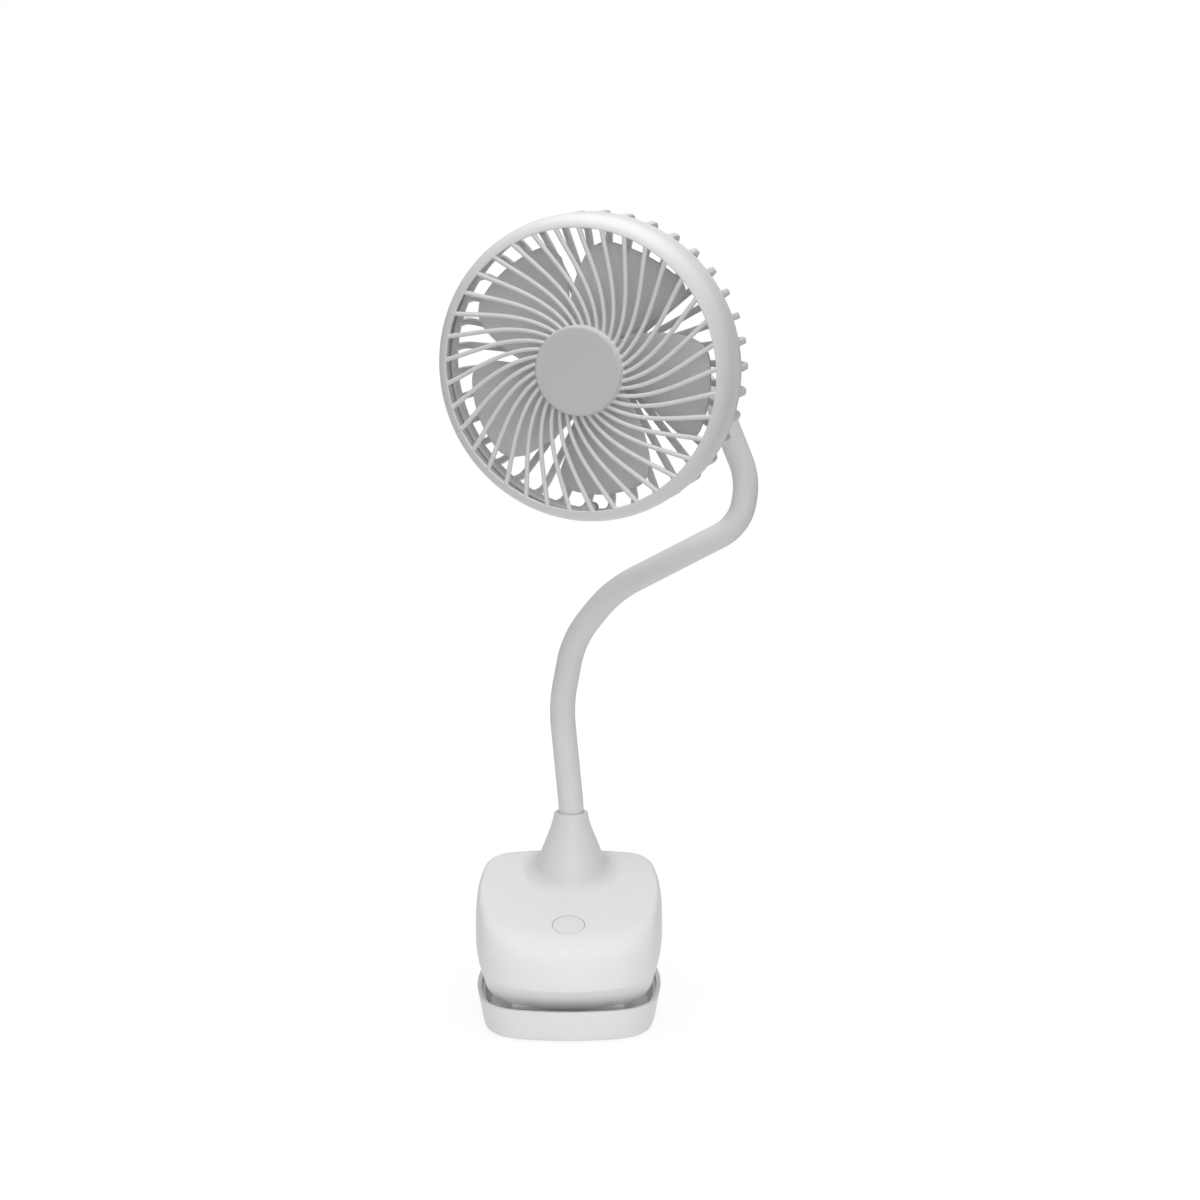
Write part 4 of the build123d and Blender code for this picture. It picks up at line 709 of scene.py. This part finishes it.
# ---- Head -------------------------------------------------------------------
def screw_bosses(back, front):
    """Two round bosses at the top and the bottom of the ring, for its screws."""
    boss = flat_ring("screw_bosses", 0.0, BOSS_RADIUS, back, front, steps=32)
    round_edges(boss, width=0.3)
    take(boss)
    boss.location = (BOSS_OUT, 0, 0)
    bpy.ops.object.transform_apply(location=True, rotation=False, scale=False)
    return around(boss, 2, phase=90.0)


class FAN_OT_guard(bpy.types.Operator):
    """Models the front guard: ring with a rolled lip, swirled ribs and hub plate"""
    bl_idname = "clip_fan.guard"
    bl_label = "Front guard"

    def ring(self):
        """The ring's wall, from its rolled lip back to its rear edge."""
        inner = RING_RADIUS - RING_WALL
        bend = (LIP_RADIUS + (RING_RADIUS - LIP_RADIUS) * BEND_OUT, -SHOULDER_DEPTH * BEND_BACK)
        inner_bend = tuple(v - RING_WALL * BEND_INSET for v in bend)
        front = arc_points((LIP_RADIUS, 0.0), bend, (RING_RADIUS, -SHOULDER_DEPTH), 12)
        back = arc_points((inner, -SHOULDER_DEPTH), inner_bend, (LIP_RADIUS, -RING_WALL), 10)
        rear = [(RING_RADIUS - RING_DRAFT, -RING_DEPTH), (inner - RING_DRAFT, -RING_DEPTH)]
        ring = turned("ring", front + rear + back, steps=240)
        return round_edges(ring, width=0.55, segments=3)

    def ribs(self, size):
        """Ribs that swirl from the lip to the hub, narrower on their way in."""
        start = LIP_RADIUS + RIB_OVERLAP
        path, scales = [], []
        for k in range(RIB_STEPS + 1):
            share = k / RIB_STEPS
            radius = start - (start - RIB_END_RADIUS) * share
            run = LIP_RADIUS - radius
            angle = radians(size.rib_phase - RIB_SWEEP * run - RIB_SWIRL * run * run)
            height = RIB_HEIGHT + RIB_CROWN * sin(pi * share)
            path.append(Vector((radius * cos(angle), radius * sin(angle), height)))
            scales.append(1.0 - RIB_TAPER * share)
        rib = swept("rib", stations_along(path, Vector((0, 0, 1)), scales),
                    round_section(size.rib_width / 2, RIB_SIDES))
        return around(rib, size.rib_count)

    def execute(self, context):
        ring = self.ring()
        ribs = self.ribs(context.scene.clip_fan_size)
        hub = flat_ring("hub", 0.0, HUB_PLATE_RADIUS, HUB_PLATE_BACK, HUB_PLATE_FRONT, steps=120)
        round_edges(hub, width=0.4)
        guard = join(ring, ribs, hub, screw_bosses(-RING_DEPTH, GUARD_BOSS_FRONT))
        guard.name = "front_guard"
        smooth(place(guard, HEAD))
        dress(guard, "shell", "head", ["front_grille"])
        return {"FINISHED"}


class FAN_OT_hub_cap(bpy.types.Operator):
    """Models the round cap with its soft edge"""
    bl_idname = "clip_fan.hub_cap"
    bl_label = "Hub cap"

    def execute(self, context):
        face = [(0.0, CAP_FRONT), (CAP_RADIUS * CAP_FLAT, CAP_FRONT),
                (CAP_RADIUS * CAP_FALL, CAP_FRONT - CAP_CROWN)]
        edge = quarter_round(CAP_RADIUS, CAP_FRONT, CAP_ROUND, steps=9)
        under = [(CAP_RADIUS, HUB_PLATE_FRONT), (0.0, HUB_PLATE_FRONT)]
        cap = turned("hub_cap_disc", face + edge + under, steps=160)
        smooth(place(cap, HEAD), angle=50)
        dress(cap, "cap", "head", ["hub_cap"])
        return {"FINISHED"}


class FAN_OT_cage(bpy.types.Operator):
    """Models the rear cage: rim, rounded fins and disc"""
    bl_idname = "clip_fan.cage"
    bl_label = "Rear cage"

    def rim(self):
        """The rim that closes the ring, with a step that fits inside it."""
        step = RIM_INNER_RADIUS + RIM_SPIGOT
        outline = [(CAGE_RADIUS, -RING_DEPTH), (CAGE_RADIUS, RIM_BACK), (RIM_INNER_RADIUS, RIM_BACK),
                   (RIM_INNER_RADIUS, RIM_FRONT), (step, RIM_FRONT), (step, -RING_DEPTH)]
        return round_edges(turned("rim", outline, steps=200), width=0.5)

    def fins(self, size):
        """Fins that run back from the rim, turn in and end on the rear plate."""
        out = CAGE_RADIUS - FIN_DEPTH / 2
        turn = FIN_CORNER - FIN_DEPTH / 2
        path = [Vector((out, 0, height)) for height in FIN_STARTS]
        for k in range(FIN_TURN_STEPS + 1):
            angle = pi / 2 * k / FIN_TURN_STEPS
            path.append(Vector((out - turn + turn * cos(angle), 0, FIN_KNEE - turn * sin(angle))))
        last = path[-1]
        end = Vector((REAR_PLATE_RADIUS - FIN_OVERLAP, 0, FIN_END_HEIGHT))
        path += [last.lerp(end, k / FIN_END_STEPS) for k in range(1, FIN_END_STEPS + 1)]
        section = [tuple(half * copysign(abs(v) ** FIN_POWER, v)
                         for half, v in ((FIN_DEPTH / 2, x), (size.fin_width / 2, y)))
                   for x, y in round_section(1.0, FIN_SIDES)]
        fin = swept("fin", stations_along(path, Vector((1, 0, 0))), section)
        return around(fin, size.fin_count, FIN_PHASE)

    def execute(self, context):
        rim = self.rim()
        fins = self.fins(context.scene.clip_fan_size)
        plate = flat_ring("plate", REAR_PLATE_BORE, REAR_PLATE_RADIUS, REAR_PLATE_BACK,
                          REAR_PLATE_FRONT, steps=96)
        round_edges(plate, width=0.5)
        collar = flat_ring("collar", *MOTOR_COLLAR, MOTOR_COLLAR_BACK, MOTOR_COLLAR_FRONT,
                           steps=96)
        cage = join(rim, fins, plate, collar, screw_bosses(-RING_DEPTH, CAGE_BOSS_FRONT))
        cage.name = "rear_cage"
        smooth(place(cage, HEAD))
        # The rear cage gets the shell's ABS with painted shade.
        dress(cage, "cage", "head", ["rear_grille"])
        keep("motor_cover", "shell")
        return {"FINISHED"}


class FAN_OT_impeller(bpy.types.Operator):
    """Models the impeller: five twisted petal blades on a round hub"""
    bl_idname = "clip_fan.impeller"
    bl_label = "Impeller"

    def bent(self, along, across, size):
        """The place on a blade at a share of the way out, from 0 to 1, and of the way
        from its trailing edge, -1, to its leading edge, 1."""
        corner = BLADE_CORNER / BLADE_HALF_WIDTH
        past = min(1.0, max(0.0, (abs(across) - 1 + corner) / corner))
        reach = BLADE_TIP_RADIUS - BLADE_CORNER * (1 - sqrt(1 - past * past))
        radius = BLADE_ROOT_RADIUS + along * (reach - BLADE_ROOT_RADIUS)
        share = (radius - BLADE_ROOT_RADIUS) / (BLADE_TIP_RADIUS - BLADE_ROOT_RADIUS)
        lead, trail = (a + b * share + c * share * share for a, b, c in (BLADE_LEAD, BLADE_TRAIL))
        middle, spread = (lead + trail) / 2, across * (lead - trail) / 2
        twist = radians(size.blade_pitch + BLADE_ROOT_TWIST * (1 - share))
        arch = BLADE_ARCH * radius * (1 - across * across)
        turn = radians(middle + spread + size.blade_phase)
        height = BLADE_HEIGHT + radius * radians(spread) * sin(twist) + arch
        return radius * cos(turn), radius * sin(turn), height

    def blades(self, size):
        """A grid bent to a blade, made solid and copied round the axis."""
        settle()
        bpy.ops.mesh.primitive_grid_add(x_subdivisions=22, y_subdivisions=26, size=2.0)
        blade = bpy.context.object
        blade.name = "blade"
        for vertex in blade.data.vertices:
            vertex.co = self.bent((vertex.co.x + 1) / 2, vertex.co.y, size)
        modify(blade, "SOLIDIFY", thickness=size.blade_thickness, offset=0.0)
        round_edges(blade, width=0.5, angle=50)
        return around(blade, BLADE_COUNT)

    def execute(self, context):
        blades = self.blades(context.scene.clip_fan_size)
        inner = WHEEL_HUB_RADIUS - WHEEL_HUB_WALL
        roof = WHEEL_HUB_FRONT - WHEEL_HUB_WALL
        edge = quarter_round(WHEEL_HUB_RADIUS, WHEEL_HUB_FRONT, WHEEL_HUB_ROUND, steps=6)
        skirt = [(WHEEL_HUB_RADIUS, WHEEL_HUB_BACK), (inner, WHEEL_HUB_BACK), (inner, roof)]
        outline = [(WHEEL_BORE, WHEEL_HUB_FRONT)] + edge + skirt + [(WHEEL_BORE, roof)]
        wheel = join(blades, turned("wheel_hub", outline, steps=120))
        wheel.name = "fan_wheel"
        edit(wheel)
        bpy.ops.mesh.normals_make_consistent(inside=False)
        smooth(place(wheel, HEAD))
        dress(wheel, "blade", "fan", ["impeller"])
        return {"FINISHED"}


class FAN_OT_inner_parts(bpy.types.Operator):
    """Finishes the screws, the motor and the other inner pieces"""
    bl_idname = "clip_fan.inner_parts"
    bl_label = "Inner parts"

    def execute(self, context):
        slots = {part["node"]: part["material_slot"] for part in frame["record"]["subparts"]}
        for node, obj in NODES.items():
            if not obj.hide_render and node not in KEPT:
                keep(node, slots[node])
        return {"FINISHED"}


# ---- Stage, in metres -------------------------------------------------------
FLOOR_SIDE = 80.0
FLOOR_DROP = 0.0002       # how far the floor lies below the base's strips
SHADOW_SHARE = 0.15       # share of the fan's shadow that the camera sees on the floor
# Distances from the fan's middle between which the shadow that the camera sees
# fades out, the floor's even light fades out, and the floor turns dark.
SHADOW_FADE = (0.07, 0.3)
BOUNCE_FADE = (0.15, 0.5)
PAPER_FADE = (0.25, 0.6)
PAPER_WHITE = 1.03        # brightness of the floor as the camera sees it

# For each light its two sides, its place and the point that it looks at.
LIGHTS = {
    "key": ((1.2, 1.2), (0.05, -0.6, 1.8), (0.0, 0.0, 0.25)),
    "fill": ((1.2, 1.2), (0.1, -1.75, 0.95), (0.0, 0.0, 0.15)),
    "back": ((1.2, 1.2), (0.0, 1.2, 1.3), (0.0, 0.0, 0.2)),
    "top": ((2.6, 2.6), (0.0, 0.3, 2.4), (0.0, 0.0, 0.0)),
    "card": ((0.5, 0.03), (0.0, -0.35, 0.02), (0.0, 0.0, 0.03)),
}

CAMERA_PLACE = (0.0158, -1.6792, 0.5118)
CAMERA_TARGET = (0.0158, -0.005, 0.2166)
CAMERA_LENS = 102.0       # in mm
CAMERA_SENSOR = 36.0      # its width in mm
CAMERA_RANGE = 20.0


def math_node(tree, operation, first, second):
    """One Math node; each input is a socket or a number."""
    node = add_node(tree, "ShaderNodeMath", {"operation": operation})
    for socket, value in zip(node.inputs, (first, second)):
        if isinstance(value, (int, float)):
            socket.default_value = value
        else:
            tree.links.new(value, socket)
    return node.outputs[0]


def mix_shaders(tree, share, first, second):
    """One Mix Shader node between two shader nodes."""
    mix = add_node(tree, "ShaderNodeMixShader")
    for socket, source in zip(mix.inputs, (share, first.outputs[0], second.outputs[0])):
        tree.links.new(source, socket)
    return mix


def paper_floor(bounce):
    """Paper that the camera sees as white. Near the object it takes a share of the
    object's shadow and gives light back to it; further off it gives back little."""
    material, tree, output = new_material("paper_floor")
    path = add_node(tree, "ShaderNodeLightPath")
    seen = math_node(tree, "MAXIMUM", path.outputs["Is Camera Ray"], path.outputs["Is Glossy Ray"])
    seen = math_node(tree, "MAXIMUM", seen, path.outputs["Is Transmission Ray"])
    where = add_node(tree, "ShaderNodeTexCoord")
    distance = add_node(tree, "ShaderNodeVectorMath", {"operation": "LENGTH"},
                        {"Vector": where.outputs["Object"]}).outputs["Value"]

    def fading(fade, value):
        settings = {"From Min": fade[0], "From Max": fade[1], "To Min": value, "To Max": 0.0,
                    "interpolation_type": "SMOOTHSTEP"}
        return add_node(tree, "ShaderNodeMapRange", settings, {"Value": distance}).outputs[0]

    paper = add_node(tree, "ShaderNodeBsdfDiffuse", {"Color": (0.9, 0.9, 0.9, 1.0)})
    dim = add_node(tree, "ShaderNodeBsdfDiffuse", {"Color": (0.2, 0.2, 0.2, 1.0)})
    glow = add_node(tree, "ShaderNodeEmission", {"Color": (1, 1, 1, 1), "Strength": PAPER_WHITE})
    lit = mix_shaders(tree, fading(BOUNCE_FADE, bounce), paper, glow)
    given = mix_shaders(tree, fading(PAPER_FADE, 1.0), dim, lit)
    clear = math_node(tree, "SUBTRACT", 1.0, fading(SHADOW_FADE, SHADOW_SHARE))
    shown = mix_shaders(tree, clear, paper, glow)
    mix = mix_shaders(tree, seen, given, shown)
    tree.links.new(mix.outputs[0], output.inputs["Surface"])
    return material


def room(strength):
    """A world that the camera sees as white and that lights the fan evenly."""
    world = bpy.data.worlds.new("room")
    world.use_nodes = True
    tree = world.node_tree
    tree.nodes.clear()
    output = add_node(tree, "ShaderNodeOutputWorld")
    path = add_node(tree, "ShaderNodeLightPath")
    dim = add_node(tree, "ShaderNodeBackground", {"Color": (1, 1, 1, 1), "Strength": strength})
    white = add_node(tree, "ShaderNodeBackground", {"Color": (1, 1, 1, 1), "Strength": 1.0})
    mix = mix_shaders(tree, path.outputs["Is Camera Ray"], dim, white)
    tree.links.new(mix.outputs[0], output.inputs["Surface"])
    return world


def aimed(location, target):
    """The turn that makes a lamp or a camera at a place look at its target."""
    return (Vector(target) - Vector(location)).to_track_quat("-Z", "Y").to_euler()


def area_light(name, power, sides, location, target):
    """Soft rectangular light that looks at the target."""
    settle()
    bpy.ops.object.light_add(type="AREA", location=location, rotation=aimed(location, target))
    lamp = bpy.context.object
    lamp.name = name
    lamp.data.energy = power
    lamp.data.shape = "RECTANGLE"
    lamp.data.size, lamp.data.size_y = sides


class FAN_OT_stage(bpy.types.Operator):
    """Sets up the white floor, the soft lights, the room light and the camera"""
    bl_idname = "clip_fan.stage"
    bl_label = "Stage"

    def execute(self, context):
        studio = context.scene.clip_fan_studio
        settle()
        bpy.ops.mesh.primitive_plane_add(size=FLOOR_SIDE, location=(0, 0, -FLOOR_DROP))
        floor = context.object
        floor.name = "floor"
        floor.data.materials.append(paper_floor(studio.bounce))

        for name, (sides, location, target) in LIGHTS.items():
            area_light(name, getattr(studio, name), sides, location, target)
        context.scene.world = room(studio.world)

        bpy.ops.object.camera_add(location=CAMERA_PLACE, rotation=aimed(CAMERA_PLACE, CAMERA_TARGET))
        camera = context.object
        camera.name = "camera"
        camera.data.lens = CAMERA_LENS
        camera.data.sensor_width = CAMERA_SENSOR
        camera.data.clip_end = CAMERA_RANGE
        context.scene.camera = camera
        context.scene.view_settings.view_transform = "Standard"
        return {"FINISHED"}


# ---- Add-on -----------------------------------------------------------------
PIECE_OPERATORS = (FAN_OT_base_shells, FAN_OT_pads, FAN_OT_button, FAN_OT_clip_spring,
                   FAN_OT_neck, FAN_OT_guard, FAN_OT_hub_cap, FAN_OT_cage, FAN_OT_impeller,
                   FAN_OT_inner_parts, FAN_OT_stage)


class FAN_PT_panel(bpy.types.Panel):
    """Lists the fan's settings and pieces"""
    bl_idname = "FAN_PT_panel"
    bl_label = "Clip fan"
    bl_space_type = "VIEW_3D"
    bl_region_type = "UI"
    bl_category = "Clip fan"

    def draw(self, context):
        scene = context.scene
        for group in (scene.clip_fan_look, scene.clip_fan_size, scene.clip_fan_studio):
            box = self.layout.box()
            for name in group.__annotations__:
                box.prop(group, name)
        column = self.layout.column()
        for operator in PIECE_OPERATORS:
            column.operator(operator.bl_idname)


CLASSES = (ClipFanLook, ClipFanSize, ClipFanStudio) + PIECE_OPERATORS + (FAN_PT_panel,)


def register():
    """Adds the settings, the operators and the panel to Blender."""
    for item in CLASSES:
        bpy.utils.register_class(item)
    bpy.types.Scene.clip_fan_look = bpy.props.PointerProperty(type=ClipFanLook)
    bpy.types.Scene.clip_fan_size = bpy.props.PointerProperty(type=ClipFanSize)
    bpy.types.Scene.clip_fan_studio = bpy.props.PointerProperty(type=ClipFanStudio)


def unregister():
    """Takes them out again, in the opposite order."""
    del bpy.types.Scene.clip_fan_studio
    del bpy.types.Scene.clip_fan_size
    del bpy.types.Scene.clip_fan_look
    for item in reversed(CLASSES):
        bpy.utils.unregister_class(item)


def main():
    """Models and finishes each piece."""
    register()
    for operator in PIECE_OPERATORS:
        group, name = operator.bl_idname.split(".")
        getattr(getattr(bpy.ops, group), name)()


if __name__ == "__main__":
    main()
